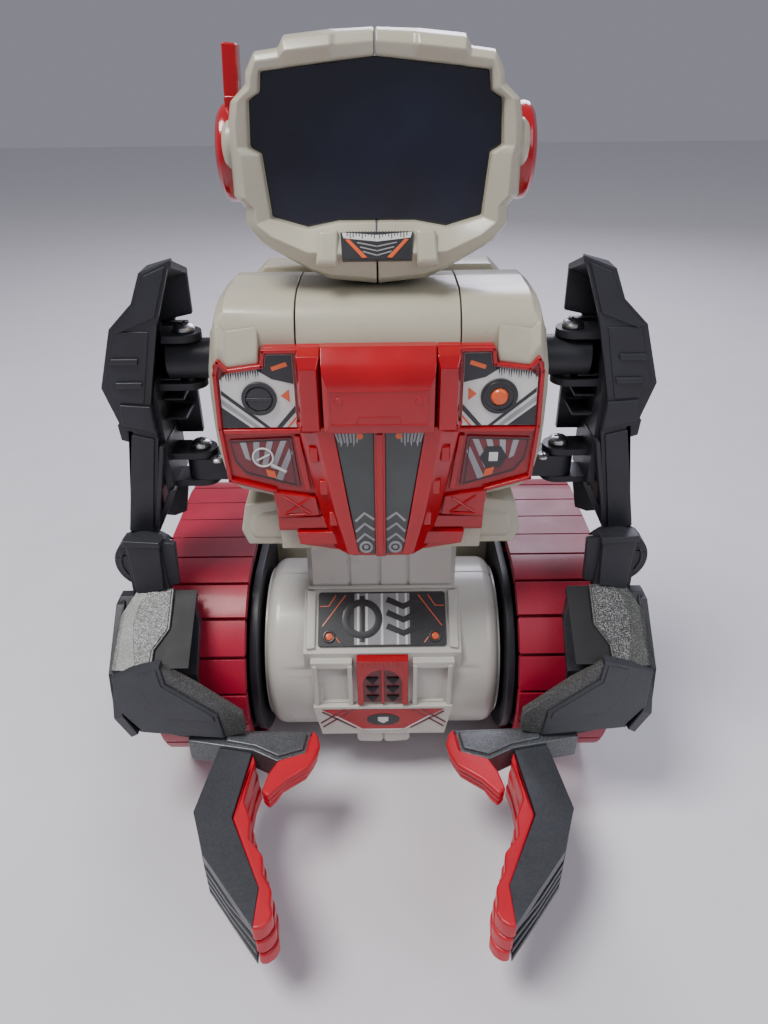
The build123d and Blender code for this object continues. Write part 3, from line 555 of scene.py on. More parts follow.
# ---- chest shell --------------------------------------------------------------------
YOKE_FRONT = [(19.8, 141), (-17.4, 141), (-17.4, 232), (-16.4, 238.5), (-13.2, 244.6), (-8, 249), (0, 251),
              (19.8, 251)]
YOKE_BACK = [(20.2, 141), (20.2, 251), (30, 250), (42, 244), (48, 238), (48, 158), (34, 141)]
YOKE_ENDS = [(31.5, 166, 251, 1), (58, 173, 251, 1), (61.5, 176, 248, 0.995), (64, 182, 240, 0.97),
             (66, 190, 229, 0.9), (67.2, 197, 217, 0.78), (67.5, 202, 212, 0.6)]
CHEST_MIDDLE_Y = 12
CHEST_SPLIT_Y = 20
CHEST_LOW, CHEST_HIGH = 141, 251


def yoke_ring(profile, x, low, high, scale):
    """The profile at one x, squeezed in height and depth, with the split between the halves kept flat."""
    ring = []
    for y, z in profile:
        depth = y if abs(y - CHEST_SPLIT_Y) < 0.5 else CHEST_MIDDLE_Y + (y - CHEST_MIDDLE_Y) * scale
        ring.append((x, depth, low + (z - CHEST_LOW) / (CHEST_HIGH - CHEST_LOW) * (high - low)))
    return ring


def yoke(name, profile, node):
    mesh = bmesh.new()
    loft(mesh, [yoke_ring(profile, x, CHEST_LOW, CHEST_HIGH, 1) for x in (-31, 31)])
    for _, side in SIDES:
        loft(mesh, [yoke_ring(profile, side * x, low, high, scale) for x, low, high, scale in YOKE_ENDS])
        loft(mesh, [yoke_ring(profile, side * x, 142, 172, 0.99) for x in (30.5, 43.5)])
    piece(name, mesh, "torso", "cream_plastic", bevel=0.8, replaces=[node])


yoke("yoke_front", YOKE_FRONT, "chest_front")
yoke("yoke_rear", YOKE_BACK, "chest_back")
trim = bmesh.new()
for _, side in SIDES:
    plate(trim, side, [(43, 165), (58.5, 162.5), (61.5, 149), (59, 141.6), (43, 141.6)], -13.5, 8)
    shoulder = [(44.9, -17, 228.8), (44.9, -21.4, 228.8), (44.9, -21.4, 234), (44.9, -17, 243)]
    loft(trim, [[(side * x, y, z) for x, y, z in shoulder],
                [(side * 57.4, y, z - 1.8) for _, y, z in shoulder],
                [(side * 60.2, y + 0.2, z + 1.6) for _, y, z in shoulder],
                [(side * 63.2, y * 0.86, z - 2.2) for _, y, z in shoulder],
                [(side * 64.4, y * 0.7, z - 8) for _, y, z in shoulder]])
    lug = [(45, 160.6), (56.6, 158.4), (58.6, 149.6), (56.8, 144.4), (45, 144.2)]
    tip = [(x - 2.4, 152 + (z - 152) * 0.74) for x, z in lug]
    steps(trim, [(-13, flip(side, lug)), (-14.4, flip(side, tip))], "y")
piece("chest_trim", trim, "torso", "cream_plastic", bevel=1.1)

# ---- red chest cover ----------------------------------------------------------------
# The red cover's front face; y grows towards the robot's back.
FACE = -21.5
cover = bmesh.new()
base = [(0, 235.5), (43.5, 235.5), (44.6, 229.4), (57.6, 227.6), (60.5, 231.5), (62.8, 226), (63.5, 203),
        (62, 178.6),
        (44, 174), (43.5, 153.8), (36, 153.8), (35, 146.6), (19.5, 143.8), (0, 142.6)]
prism(cover, base + [(-x, z) for x, z in reversed(base) if x], FACE + 0.6, -17.2, "y")
for _, side in SIDES:
    rim = [(31, 234.4), (43, 234.4), (44.0, 228.6), (57.0, 226.8), (60.3, 230.4), (62.0, 225.6),
           (62.6, 203), (61.2, 179.8),
           (43.4, 174.4), (43.0, 169)]
    for bar in bars(rim, 1.6):
        plate(cover, side, bar, FACE - 1.6, FACE + 1)
    wing = [(31, 200.5), (61.2, 200.5), (61.6, 202.6), (31, 202.6)]
    plate(cover, side, wing, FACE - 1.3, FACE + 1)
    column = rectangle(21.9, 30.6, 202.4, 236)
    steps(cover, [(-18, flip(side, column)), (-26.2, flip(side, rectangle(21.9, 30.6, 202.4, 233.6))),
                  (-28.6, flip(side, rectangle(23.0, 29.4, 204.5, 229.5)))], "y")
    wall = []
    for z, inner, crest, outer in ((205.5, 17.9, 24.5, 33), (165, 12.4, 18, 25.6), (145.5, 9.2, 13.5, 20)):
        wall.append([(side * inner, -27.6, z), (side * crest, -27.8, z), (side * outer, -21.9, z),
                     (side * outer, -19, z), (side * inner, -19, z)])
    loft(cover, wall)
    for k in range(3):
        z = 193 - 15 * k
        x = 24.0 + (z - 146) * 0.215 - 8
        steps(cover, [(-22, flip(side, rectangle(x - 2.2, x + 2.4, z - 4, z + 4))),
                      (-26.9, flip(side, rectangle(x - 1.6, x + 1.4, z - 3.2, z + 3.2)))], "y")
    plate(cover, side, [(26.8, 171.4), (43.2, 174), (43.2, 161.4), (25.6, 162.6)], FACE - 1.4, FACE + 1)
    for line in ([(29.5, 171), (39.8, 163.6)], [(39.8, 172), (29.0, 163.6)],
                 [(29.0, 163.6), (39.8, 163.2)]):
        plate(cover, side, ribbon(line, 0.9), FACE - 2.2, FACE - 1.2)
    plate(cover, side, [(20, 161.6), (43.4, 161.4), (43.4, 155.6), (19.4, 155.6)], FACE - 0.6, FACE + 1)
    plate(cover, side, [(18.8, 154.6), (35.6, 154.4), (34.6, 148.4), (17.8, 148.2)], FACE - 2.2, FACE + 1)
    plate(cover, side, [(31.6, 199.4), (34.0, 199.4), (31.0, 174.6), (28.4, 174.6)], FACE - 1.2, FACE + 1)
prism(cover, [(-2.2, 204.6), (2.2, 204.6), (2.2, 144.6), (-2.2, 144.6)], -27.9, -19, "y")
prism(cover, [(-1.3, 203), (1.3, 203), (1.3, 146), (-1.3, 146)], -28.7, -27, "y")
prism(cover, [(-13, 148.6), (13, 148.6), (12.4, 143.6), (-12.4, 143.6)], -25.6, -19, "y")
piece("red_cover", cover, "torso", "red_plastic", bevel=0.55, replaces=["chest_cover"])
CENTRE_BOX = [(-18, 21.6, 203.2, 236), (-22.5, 21.6, 203.2, 236), (-28.2, 21.4, 203.4, 231.6),
              (-30.2, 21.0, 204.2, 228.0),
              (-31.3, 19.2, 207.6, 222.8)]
box = bmesh.new()
steps(box, [(y, rectangle(-x, x, low, high)) for y, x, low, high in CENTRE_BOX], "y")
for bar in bars([(-18.4, 208.2), (-18.4, 222.0), (18.4, 222.0), (18.4, 208.2), (-18.4, 208.2)], 0.6):
    prism(box, bar, -31.6, -31.0, "y")
for bar in bars([(-9.0, 207.8), (-7.6, 211.4), (7.6, 211.4), (9.0, 207.8)], 0.6):
    prism(box, bar, -31.5, -31.0, "y")
for _, side in SIDES:
    turned(box, [(-31.0, 1.7), (-31.6, 1.5)], "y", (side * 15.2, 217.6), 24)
piece("red_centre_box", box, "torso", "red_plastic", bevel=0.3)

labels = bmesh.new()
UPPER = [(32.2, 233), (42.2, 233), (43.2, 227.6), (57.6, 225.8), (60.6, 223), (61.2, 203.2), (32.2, 203.2)]
LOWER = [(35, 198.6), (59.8, 197.6), (58.6, 188), (54.5, 182.4), (32.8, 176)]
for _, side in SIDES:
    plate(labels, side, UPPER, FACE - 0.5, FACE + 1.2)
piece("labels", labels, "torso", "print_white", 0.2, ["label_plates"])
low_labels = bmesh.new()
for _, side in SIDES:
    plate(low_labels, side, LOWER, FACE - 0.5, FACE + 1.2)
piece("low_labels", low_labels, "torso", "print_maroon", 0.2)
DECAL = FACE - 0.5
DIAL_AT = (-46, 215.6)
BUTTON_AT = (46.3, 215.6)
dark, grey, orange = [], [], []
ORANGE = (
    [(34.2, 228.6), (34.8, 230.2), (40.6, 228.2), (40.2, 226.6)],
    [(34.4, 219.2), (34.4, 214.0), (37.6, 216.6)],
    [(32.4, 208.0), (32.4, 206.8), (35.2, 203.4), (36.2, 203.4)],
    [(42.8, 183.6), (46.4, 184.8), (45.8, 181.4), (42.2, 180.2)],
)
DARK = (
    [(60.9, 212), (61.1, 203.4), (50.5, 203.4)],
    [(60.4, 219), (60.5, 217.2), (44.6, 203.4), (42.8, 203.4)],
    [(32.4, 212.5), (32.4, 209.8), (38.0, 203.4), (40.2, 203.4)],
    ribbon([(34.6, 177.4), (36.0, 197.8), (59.2, 196.8), (58.0, 188.4), (54.2, 183.2), (34.2, 177.0)], 0.5),
)
CORNER = [(32.4, 232.8), (42.0, 232.8), (42.9, 228.2), (46.5, 227.4), (40.6, 223.4), (32.4, 221.4)]
ticks, stripes = [], []
for k in range(17):
    x = 44.6 + 0.94 * k
    top = 227.4 - 0.125 * (x - 43.2)
    ticks.append([(x - 0.3, top), (x + 0.32, top), (x + 0.1, top - 1.4 - 2.2 * abs(sin(2.3 * k)))])
for k in range(4):
    x, foot = 5.4 * k, 3.2 * k
    stripes.append([(37.0 + x, 197.4 - 0.2 * k), (39.4 + x, 197.3 - 0.2 * k),
                    (44.4 + foot, 185.4 + 1.4 * k), (42.4 + foot, 184.4 + 1.4 * k)])
GREY = [[(60.7, 215.6), (60.8, 213.4), (48.8, 203.4), (46.6, 203.4)], *stripes,
        [(34.8, 192), (36.2, 194), (42.6, 180.2), (40.0, 179.2)]]
for side in (-1, 1):
    dark += [flip(side, shape) for shape in (CORNER, *ticks, *DARK)]
    grey += [flip(side, shape) for shape in GREY]
    orange += [flip(side, shape) for shape in ORANGE]
dark.append(circle((45.8, 189.2), 5.6, 6))
print_on("label_dark", "torso", "label_print", dark, DECAL, "y", rise=-0.15)
print_on("label_grey", "torso", "print_grey", grey, DECAL, "y", rise=-0.12)
print_on("label_orange", "torso", "print_orange", orange, DECAL, "y", rise=-0.2)
marks = bmesh.new()
prism(marks, rectangle(44.0, 47.6, 187.4, 191.4), DECAL - 0.3, DECAL, "y")
washer(marks, (-47.0, 190.0), 3.7, 4.4, DECAL - 0.4, DECAL + 0.4, "y")
for bar in bars([(-43.4, 186.4), (-38.6, 183.6)], 1.2) + bars([(-49.4, 188.8), (-44.6, 191.2)], 0.6):
    prism(marks, bar, DECAL - 0.35, DECAL, "y")
piece("label_mark", marks, "torso", "print_white", 0)
knobs = bmesh.new()
washer(knobs, DIAL_AT, 5.2, 6.8, DECAL - 1.2, DECAL + 0.4, "y")
turned(knobs, [(DECAL + 0.4, 5.1), (DECAL - 0.6, 5.1), (DECAL - 1.0, 4.6)], "y", DIAL_AT)
prism(knobs, rectangle(-51, -41, 214.9, 216.3), DECAL - 1.5, DECAL, "y")
washer(knobs, BUTTON_AT, 3.6, 7.2, DECAL - 0.9, DECAL + 0.4, "y")
washer(knobs, BUTTON_AT, 5.6, 6.4, DECAL - 1.5, DECAL + 0.4, "y")
piece("chest_knobs", knobs, "torso", "label_print", bevel=0.25)
button = bmesh.new()
turned(button, [(DECAL + 0.4, 3.4), (DECAL - 1.4, 3.3), (DECAL - 2.2, 2.7), (DECAL - 2.5, 1.4)], "y",
       BUTTON_AT)
piece("chest_button", button, "torso", "print_orange", 0.2)

GLASS = -26.7
window_marks, corner_marks, window_rings = [], [], bmesh.new()
for side in (-1, 1):
    for k in range(7):
        corner_marks.append(flip(side, [(17.0 - 1.5 * k, 204.2), (17.9 - 1.5 * k, 204.2),
                                        (16.2 - 1.2 * k, 198.6 - 2.1 * (k % 2)), (15.6 - 1.2 * k, 198.6)]))
    for k in range(3):
        z = 166 - 5.2 * k
        window_marks.append(flip(side, ribbon([(2.6, z - 3.2), (6.6, z), (10.4, z - 4.0)], 1.1)))
    washer(window_rings, (side * 6.2, 149.0), 1.9, 2.9, GLASS - 0.6, GLASS + 0.4, "y")
    turned(window_rings, [(GLASS + 0.4, 1.2), (GLASS - 0.5, 1.0)], "y", (side * 6.2, 149.0), 20)
print_on("window_chevrons", "torso", "print_grey", window_marks, GLASS, "y", rise=-0.15)
print_on("window_corners", "torso", "print_grey", corner_marks, GLASS, "y", rise=-0.12)
piece("window_rings", window_rings, "torso", "print_grey", 0.15)
dots = [circle((side * 7.6, 201.4), 1.3, 20) for side in (-1, 1)]
print_on("window_dots", "torso", "print_orange", dots, GLASS, "y", rise=-0.3)

# ---- waist and belly ----------------------------------------------------------------
# The track wheels turn about these y positions at this height; the front one is the hips' axis too.
FRONT_HUB_Y, REAR_HUB_Y = 20.5, 81
HUB_Z = 56
ribs = bmesh.new()
for left, right in ((-34, -16.4), (-15.2, -1.7), (-0.5, 12.2), (13.4, 34)):
    prism(ribs, rectangle(left, right, 97, 140), 5.1, 7, "y")
piece("waist_panels", ribs, "torso", "white_plastic", 0.5)

# The number plate's facet faces up and forwards at 52.5 degrees about the hip axis.
FACET = slanted(0.793, 0.609)
FACET_AT = (0, -7.9, 93.0)
frame_bars = bmesh.new()
for _, side in SIDES:
    prism(frame_bars, flip(side, [(32.4, -14), (36.6, -14.6), (36.6, 14.6), (32.4, 14)]), -1, 1.9, FACET,
          FACET_AT)
prism(frame_bars, [(-36.6, 15.0), (36.6, 15.0), (36.6, 16.8), (-36.6, 16.8)], -1, 1.9, FACET, FACET_AT)
for _, side in SIDES:
    plate(frame_bars, side, [(14.6, 80), (34.8, 80), (34.8, 76), (14.6, 76)], -24.4, -19)
    for x in (14.6, 31.6):
        plate(frame_bars, side, rectangle(x, x + 2.4, 52, 78), -25.0, -20)
    plate(frame_bars, side, [(13.4, 33.5), (0.5, 33.5), (0.5, 26.6), (2.0, 25.6), (12.0, 26.2), (13.4, 28)],
          -25, -21)
piece("belly_frame", frame_bars, "torso", "white_plastic", bevel=0.5)
rims = bmesh.new()
for _, side in SIDES:
    washer(rims, (FRONT_HUB_Y, HUB_Z), 36.5, 39.0, side * 56.5, side * 58.2, "x", count=64)
piece("belly_rims", rims, "torso", "white_plastic", bevel=0.35)

# The plate's face stands this far out of the facet.
TOP = 1.2
STUD_X, STUD_UP = 25.6, -8.6
panel = [rectangle(-13.5, 13.5, -12.6, 12.6)]
print_on("plate_panel", "torso", "print_grey", panel, TOP, FACET, origin=FACET_AT, rise=0.1)
stripes = [[(x, -12.6), (x + 1.1, -12.6), (x + 1.1, 12.6), (x, 12.6)] for x in (-12.2, -8.0, 7.0, 11.2)]
stripes += [rectangle(-0.6, 0.6, -12.6, 12.6)]
print_on("plate_stripes", "torso", "print_white", stripes, TOP + 0.1, FACET, origin=FACET_AT, rise=0.08)
shapes = bmesh.new()
washer(shapes, (-9.6, 0), 6.4, 9.8, TOP, TOP + 0.35, FACET, FACET_AT, 40)
prism(shapes, rectangle(-10.8, -8.4, -11.4, 11.4), TOP, TOP + 0.34, FACET, FACET_AT)
for k in (-1, 0, 1):
    line = [(2.4, 6.6 * k + 3.0), (10.4, 6.6 * k - 0.6), (18.0, 6.6 * k + 3.0)]
    prism(shapes, ribbon(line, 2.9), TOP, TOP + 0.36, FACET, FACET_AT)
piece("plate_shapes", shapes, "torso", "label_print", bevel=0)
PLATE_LINES = ([(17.8, 11.8), (29.0, -3.6)], [(22.6, 11.8), (26.0, 6.4), (30.2, 6.4)],
               [(20.4, -11.6), (23.2, -8.0)])
lines = [flip(side, ribbon(line, 0.45)) for side in (-1, 1) for line in PLATE_LINES]
print_on("plate_lines", "torso", "print_orange", lines, TOP, FACET, origin=FACET_AT, rise=0.12)
studs = bmesh.new()
for _, side in SIDES:
    washer(studs, (side * STUD_X, STUD_UP), 2.0, 3.1, TOP - 0.3, TOP + 0.7, FACET, FACET_AT)
piece("plate_stud_rims", studs, "torso", "label_print", bevel=0.2)
studs = bmesh.new()
for _, side in SIDES:
    turned(studs, [(TOP - 0.3, 1.9), (TOP + 0.5, 1.8), (TOP + 0.9, 1.0)], FACET, (side * STUD_X, STUD_UP),
           24, FACET_AT)
piece("plate_studs", studs, "torso", "print_orange", 0.1)

vent = bmesh.new()
prism(vent, rectangle(-12.4, 12.4, 53.5, 82.5), -24.3, -21.4, "y")
arch = [(-12.4, 53.5), (-9.4, 53.5), (-9.4, 67)] + arc((0, 67.4), 9.4, 178, 2, 22) + [(9.4, 67),
    (9.4, 53.5)]
prism(vent, arch + [(12.4, 53.5), (12.4, 82.5), (-12.4, 82.5)], -26.2, -23.8, "y")
prism(vent, rectangle(-0.7, 0.7, 53.5, 77), -25.8, -24, "y")
for k in range(9):
    prism(vent, rectangle(-9.4 + 2.2 * k, -8.2 + 2.2 * k, 79.2, 82.2), -26.6, -26, "y")
piece("vent_grille", vent, "torso", "red_plastic", bevel=0.25, replaces=["vent_plate"])
# Painted shade: a maroon sheet darkens the arch's recess, and near-black triangles on it stand for the
# shade in the vent's openings.
recess = [[(-9.2, 54), (9.2, 54), (9.2, 67)] + arc((0, 67.4), 9.2, 2, 178, 22) + [(-9.2, 67)]]
print_on("vent_recess", "torso", "print_maroon", recess, -24.3, "y", rise=-0.12)
teeth = [[(side * 5.0 - 3.0, 70.5 - 6 * k), (side * 5.0 + 3.0, 70.5 - 6 * k), (side * 5.0, 66.2 - 6 * k)]
         for side in (-1, 1) for k in range(3)]
print_on("vent_teeth", "torso", "hollow_black", teeth, -24.35, "y", rise=-0.9)

BUMPER = -26.0
red_field = [(-30.4, 50.4), (-23, 45.4), (-10.5, 36.2), (10.5, 36.2), (23, 45.4), (30.4, 50.4)]
print_on("bumper_field", "torso", "red_plastic", [red_field], BUMPER, "y", rise=-0.2)
CROSSING = ([(15, 50.2), (30, 38.4)], [(19.4, 50.2), (31, 41.2)], [(30, 48.6), (14, 37.4)])
crossing = [bar for side in (-1, 1) for line in CROSSING for bar in bars(flip(side, line), 0.8)]
print_on("bumper_lines", "torso", "print_maroon", crossing, BUMPER, "y", rise=-0.28)
edge = bars([(-23, 45.4), (-10.5, 36.2), (10.5, 36.2), (23, 45.4)], 0.7)
print_on("bumper_edge", "torso", "print_white", edge, BUMPER, "y", rise=-0.34)
oval = [(8.2 * cos(radians(t)), 43.4 + 4.0 * sin(radians(t))) for t in range(0, 360, 12)]
print_on("bumper_disc", "torso", "label_print", [oval], BUMPER, "y", rise=-0.38)
shield = [(-2.6, 45.2), (2.6, 45.2), (2.6, 42.6), (0, 40.8), (-2.6, 42.6)]
print_on("bumper_mark", "torso", "print_white", [shield], BUMPER, "y", rise=-0.46)

# ---- arms ---------------------------------------------------------------------------
# Raised details on the arm's front wall start this far back, just inside it.
ARM_FACE = -2.6
ELBOW_DISC = (108.3, 129)
OUTER_RAIL = (
    [(119.2, -16.0, 113.6), (121.4, -15.4, 112.6), (121.4, -12, 108), (119.2, -12, 108)],
    [(119.6, -29.8, 104.4), (122.8, -28.6, 101.6), (122.8, -24, 96), (119.6, -24, 96)],
    [(119.6, -44.6, 90.0), (122.9, -43.0, 86.0), (122.9, -38, 82), (119.6, -38, 82)],
    [(117.6, -51.0, 74.0), (122.8, -49.6, 71.0), (122.8, -42, 68), (117.6, -42, 68)],
    [(112.6, -51.4, 62.4), (117.0, -49.6, 58.4), (117.0, -42, 58), (112.6, -42, 61)],
)
# The flake plate's plane climbs from the wrist to the elbow.
SLOPE = slanted(34.5, 20.0)
SLOPE_AT = (0, -30.75, 108.0)


def domed_screw(mesh, cross, centre, depth, axis, radius=4.2, height=2.0):
    """A domed head with a cross recess drawn as two dark bars, painted shade for the recess."""
    turned(mesh, [(depth - 0.6, radius), (depth + height * 0.35, radius),
                  (depth + height * 0.8, radius * 0.72),
                  (depth + height, radius * 0.3)], axis, centre, 28)
    for wide, tall in ((radius * 0.5, radius * 0.11), (radius * 0.11, radius * 0.5)):
        bar = rectangle(centre[0] - wide, centre[0] + wide, centre[1] - tall, centre[1] + tall)
        prism(cross, bar, depth + height * 0.7, depth + height * 1.06, axis)


for label, side in SIDES:
    arm = f"arm_{label}"
    hood = bmesh.new()
    # Rear hood, seen over the front plate, and the folds of the outer wall.
    rear = [(77.6, 254.5), (91.5, 250), (98, 238), (106, 231), (112, 213), (108, 196), (95, 192), (94, 207),
            (91.6, 233), (77.8, 236)]
    plate(hood, side, rear, 19.5, 22)
    roof_front = [(77.2, 263.6), (89.2, 258.4), (94.8, 247.2), (105.2, 237.4), (103.6, 235.6),
                  (92.8, 245.4), (87.2, 255.8), (77.2, 261)]
    roof_rear = [(77.6, 254.5), (88.4, 250.6), (94.4, 242), (104.6, 232), (103, 230.4), (92.4, 240),
                 (86.6, 248), (77.6, 252)]
    steps(hood, [(-3.2, flip(side, roof_front)), (22, flip(side, roof_rear))], "y")
    for z in (224.0, 214.0):
        plate(hood, side, [(96.6, z - 1.3), (107.8, z - 1.3), (106.8, z + 1.3), (95.8, z + 1.3)], -4.6,
              ARM_FACE)
    plate(hood, side, [(94.6, 204.4), (107.2, 205.4), (108.0, 196.4), (94.4, 192.2)], -4.2, ARM_FACE)
    plate(hood, side, [(79.4, 261.2), (88.2, 257.6), (93.6, 246.8), (103.6, 237.2), (102.0, 235.6),
                       (86.6, 241.6), (80.6, 258)], -4.0, ARM_FACE)
    plate(hood, side, [(97.4, 236.2), (103.4, 236.2), (110.6, 214.4), (107.4, 206.4), (97.2, 205.4),
                       (90.0, 236.0)], -3.5, ARM_FACE)
    for k in range(3):
        plate(hood, side, rectangle(83.6, 92.6, 211 - 9 * k, 212.2 - 9 * k), 8, 24)
    piece(f"pad_detail_{label}", hood, arm, "black_plastic", bevel=0.45)

    shell = bmesh.new()
    wall = [(94, 190), (106, 193.3), (114.5, 141), (102.5, 138)]
    plate(shell, side, wall, -3, -1)
    plate(shell, side, [(104.2, 193), (106, 193.3), (114.5, 141), (112.6, 140.6)], -3, 30)
    plate(shell, side, wall, 28, 30)
    plate(shell, side, [(94.4, 189.8), (93.6, 150), (96.6, 135), (102.5, 132.5), (113.4, 133.5),
                        (114.4, 141)], 26.5, 28.5)
    disc = arc(ELBOW_DISC, 14.3, -108, 140, 31)
    plate(shell, side, [point for point in disc if point[0] > 96] + [(98.6, 139.6)], -9, -1)
    piece(f"upper_arm_shell_{label}", shell, arm, "black_plastic", bevel=0.5,
          replaces=[f"upper_arm_{label}"])

    upper = bmesh.new()
    plate(upper, side, [(104.8, 191.6), (114.6, 143.6), (104.4, 140.4), (95.6, 189.4)], -4.0, ARM_FACE)
    plate(upper, side, ribbon([(93.0, 186), (96.2, 170), (101.6, 146)], 1.8), -4.4, 20)
    plate(upper, side, ribbon([(92.6, 162.7), (103.6, 140.7)], 2.6), -1, 4)
    rim = arc(ELBOW_DISC, 12.2, -100, 100, 25) + arc(ELBOW_DISC, 10.8, 100, -100, 25)
    plate(upper, side, rim, -9.5, -8.8)
    plate(upper, side, [(106, 199), (110.6, 195.4), (110.2, 188.4), (106, 187)], -2, 16)
    piece(f"upper_arm_detail_{label}", upper, arm, "black_plastic", bevel=0.45)

    screws = bmesh.new()
    crosses = bmesh.new()
    for top in (179.1, 232.3):
        domed_screw(screws, crosses, (side * 80.5, 13.5), top, "z", 4.3, 1.9)
    domed_screw(screws, crosses, (side * 72.5, 6.6), 174.4, "z", 3.0, 1.4)
    piece(f"pivot_screws_{label}", screws, "torso", "steel", bevel=0.1)
    # The cross recesses are painted shade: near-black bars.
    piece(f"pivot_crosses_{label}", crosses, "torso", "hollow_black", 0)

    # Forearm: elbow cover with its ledge and inner wall, outer rail, and the fold above the wrist.
    fore = f"forearm_{label}"
    shell = bmesh.new()
    plate(shell, side, [(98.2, 144.6), (113.2, 145.8), (113.0, 116.4), (100.2, 118.6)], -16.2, -13.4)
    plate(shell, side, [(97.6, 145.4), (114.0, 146.6), (114.0, 143.4), (97.6, 142.2)], -17.4, -9.6)
    plate(shell, side, [(101.5, 143.4), (92.3, 142), (93.6, 119.4), (102, 118)], -13, -9.6)
    loft(shell, [[(side * x, y, z) for x, y, z in ring] for ring in OUTER_RAIL])
    plate(shell, side, [(88.6, 84), (86.4, 72), (70, 64), (66.8, 52), (92, 54), (112, 60), (100, 84)],
          -46.4, -42)
    piece(f"gauntlet_{label}", shell, fore, "black_plastic", bevel=0.6)

    silver = bmesh.new()
    top = [(96.0, 19.6), (112.6, 19.6), (119.0, 6), (119.2, -19.4), (101.6, -19.4), (101.4, -10), (95.6, 0)]
    prism(silver, flip(side, top), -3.5, 0.4, SLOPE, SLOPE_AT)
    prism(silver, flip(side, [(116.6, 10), (119.0, 6), (119.2, -19.4), (116.6, -19.4)]), -13, 0.4, SLOPE,
          SLOPE_AT)
    inset = [(96.9, 18.6), (107.2, 18.4), (110.8, 12), (112.4, 2), (110.8, -8), (108.6, -18.4),
             (102.6, -18.4), (102.4, -10.4), (96.6, -0.2)]
    grain = bmesh.new()
    prism(grain, flip(side, inset), 0.2, 0.9, SLOPE, SLOPE_AT)
    piece(f"flake_inset_{label}", grain, fore, "grain_flake", 0.3)
    lip = [(97, 101), (84.1, 90.5), (64.4, 71.2), (64, 60.4), (73.8, 57.8), (75.4, 71), (96.4, 90)]
    plate(silver, side, lip, -49.4, -45)
    piece(f"flake_plate_{label}", silver, fore, "silver_flake", 0.4,
          [f"forearm_plate_{label}"])
    # Painted shade: a near-black sheet on the inner facet beside the flake plate, for the shade of the
    # hollow there.
    shade = flip(side, [(85.6, 19), (95.4, 19), (95.2, 1), (101, -9), (101, -18), (85.6, -18)])
    print_on(f"gauntlet_shade_{label}", fore, "hollow_black", [shade], -1.4, SLOPE,
             SLOPE_AT, 0.6)

    guard = bmesh.new()
    face = [(118.4, 97.4), (96.6, 103.6), (95.8, 92.4), (75.0, 73.0), (73.4, 58.2), (110.4, 62.6),
            (118.8, 76.4)]
    plate(guard, side, face, -50.4, -45.4)
    inner = [(107.6, 98.6), (98.2, 101.2), (97.4, 91.6), (77.2, 72.8), (76.4, 69.4), (99.8, 72.6),
             (104.6, 80)]
    plate(guard, side, inner, -50.9, -49.6)
    piece(f"wrist_plate_{label}", guard, fore, "dark_grey", 0.4, [f"wrist_guard_{label}"])

    # Hand: palm, three stacked thumb lobes, finned finger and three pad lobes.
    hand = bmesh.new()
    plate(hand, side, [(91, -43.4), (33.4, -45.2), (35.0, -58.0), (48.0, -62.4), (60, -56), (76, -53),
                       (91, -50.2)], 44, 56.6, "z")
    plate(hand, side, [(73.6, -45.6), (35.2, -47.6), (36.6, -56.6), (47.8, -60.4), (59, -54.6),
                       (72.6, -51.4)], 56, 58, "z")
    piece(f"hand_{label}", hand, fore, "grey_flake", 0.7, [f"palm_{label}"])
    thumb = bmesh.new()
    lobe = [(33.2, -45.2), (30.4, -48.6), (28.9, -54.6), (30.6, -61.0), (33.4, -66.6), (38.2, -70.2),
            (43.2, -74.0), (47.0, -78.6),
            (49.8, -82), (53.0, -79), (51.0, -70), (47.6, -62.8), (35, -58.2)]
    for low_z, high_z, pull in ((46.6, 50.2, 1.6), (50.6, 54.0, 0.8), (54.4, 58.0, 0)):
        plate(thumb, side, [(x + pull * (x < 46), y + pull * (y < -60)) for x, y in lobe], low_z, high_z,
              "z")
    plate(thumb, side, [(34.4, -47), (32, -50), (31, -55), (35, -64), (45, -72), (50, -79), (46, -64),
                        (36, -58)], 47, 57, "z")
    piece(f"thumb_lobes_{label}", thumb, fore, "red_rubber", bevel=1.3, replaces=[f"thumb_pad_{label}"],
          segments=3)
    claw = bmesh.new()
    top = [(76, -53), (60.4, -56), (64, -90), (48.4, -121), (48.6, -136.6), (60.8, -121.8), (73, -107),
           (81, -87), (78.6, -70)]
    plate(claw, side, top, 48.4, 55, "z")
    inset = [(76, -53), (60.4, -56), (64, -90), (48.4, -121), (48.4, -132.5), (58.6, -120.4), (70.2, -106),
             (78.0, -87), (77.6, -70)]
    plate(claw, side, inset, 28.6, 49, "z")
    for k in range(4):
        z = 28.2 + 5.1 * k
        fin = [(78.4, -80), (70, -88), (60, -104), (49.6, -121), (49, -136.4 + 0.8 * k), (61.2, -121.8),
               (73.4, -107), (81, -87)]
        plate(claw, side, fin, z, z + 2.9, "z")
    plate(claw, side, [(75.8, -53), (61, -56), (64.4, -74), (77, -71)], 30, 49, "z")
    piece(f"claw_{label}", claw, fore, "dark_grey", 0.5, [f"finger_{label}"])
    grip = bmesh.new()
    wave = [(60, -56), (57.0, -61.4), (58.6, -70), (58.9, -82.0), (55.0, -90.5), (54.2, -99.5),
            (47.6, -107), (46.4, -115),
            (42.2, -121.4), (41.8, -127.4), (40.6, -131.4), (42.2, -134.8), (45.0, -136.8), (48.2, -136.8),
            (47.8, -121), (63.8, -90)]
    core = [(60.4, -57), (58.4, -62), (60.2, -82), (55.6, -99), (48, -114), (43.4, -127), (43.4, -133.4),
            (48, -134.8), (48.2, -121), (64, -90)]
    plate(grip, side, core, 30, 54, "z")
    for low_z, high_z, pull in ((29.2, 36.6, 0.0), (37.4, 45.4, 0.5), (46.2, 54.8, 1.1)):
        plate(grip, side, [(x + pull * (y < -60 and x < 60), y) for x, y in wave], low_z, high_z, "z")
    piece(f"grip_lobes_{label}", grip, fore, "red_rubber", bevel=1.5, replaces=[f"finger_pad_{label}"],
          segments=3)

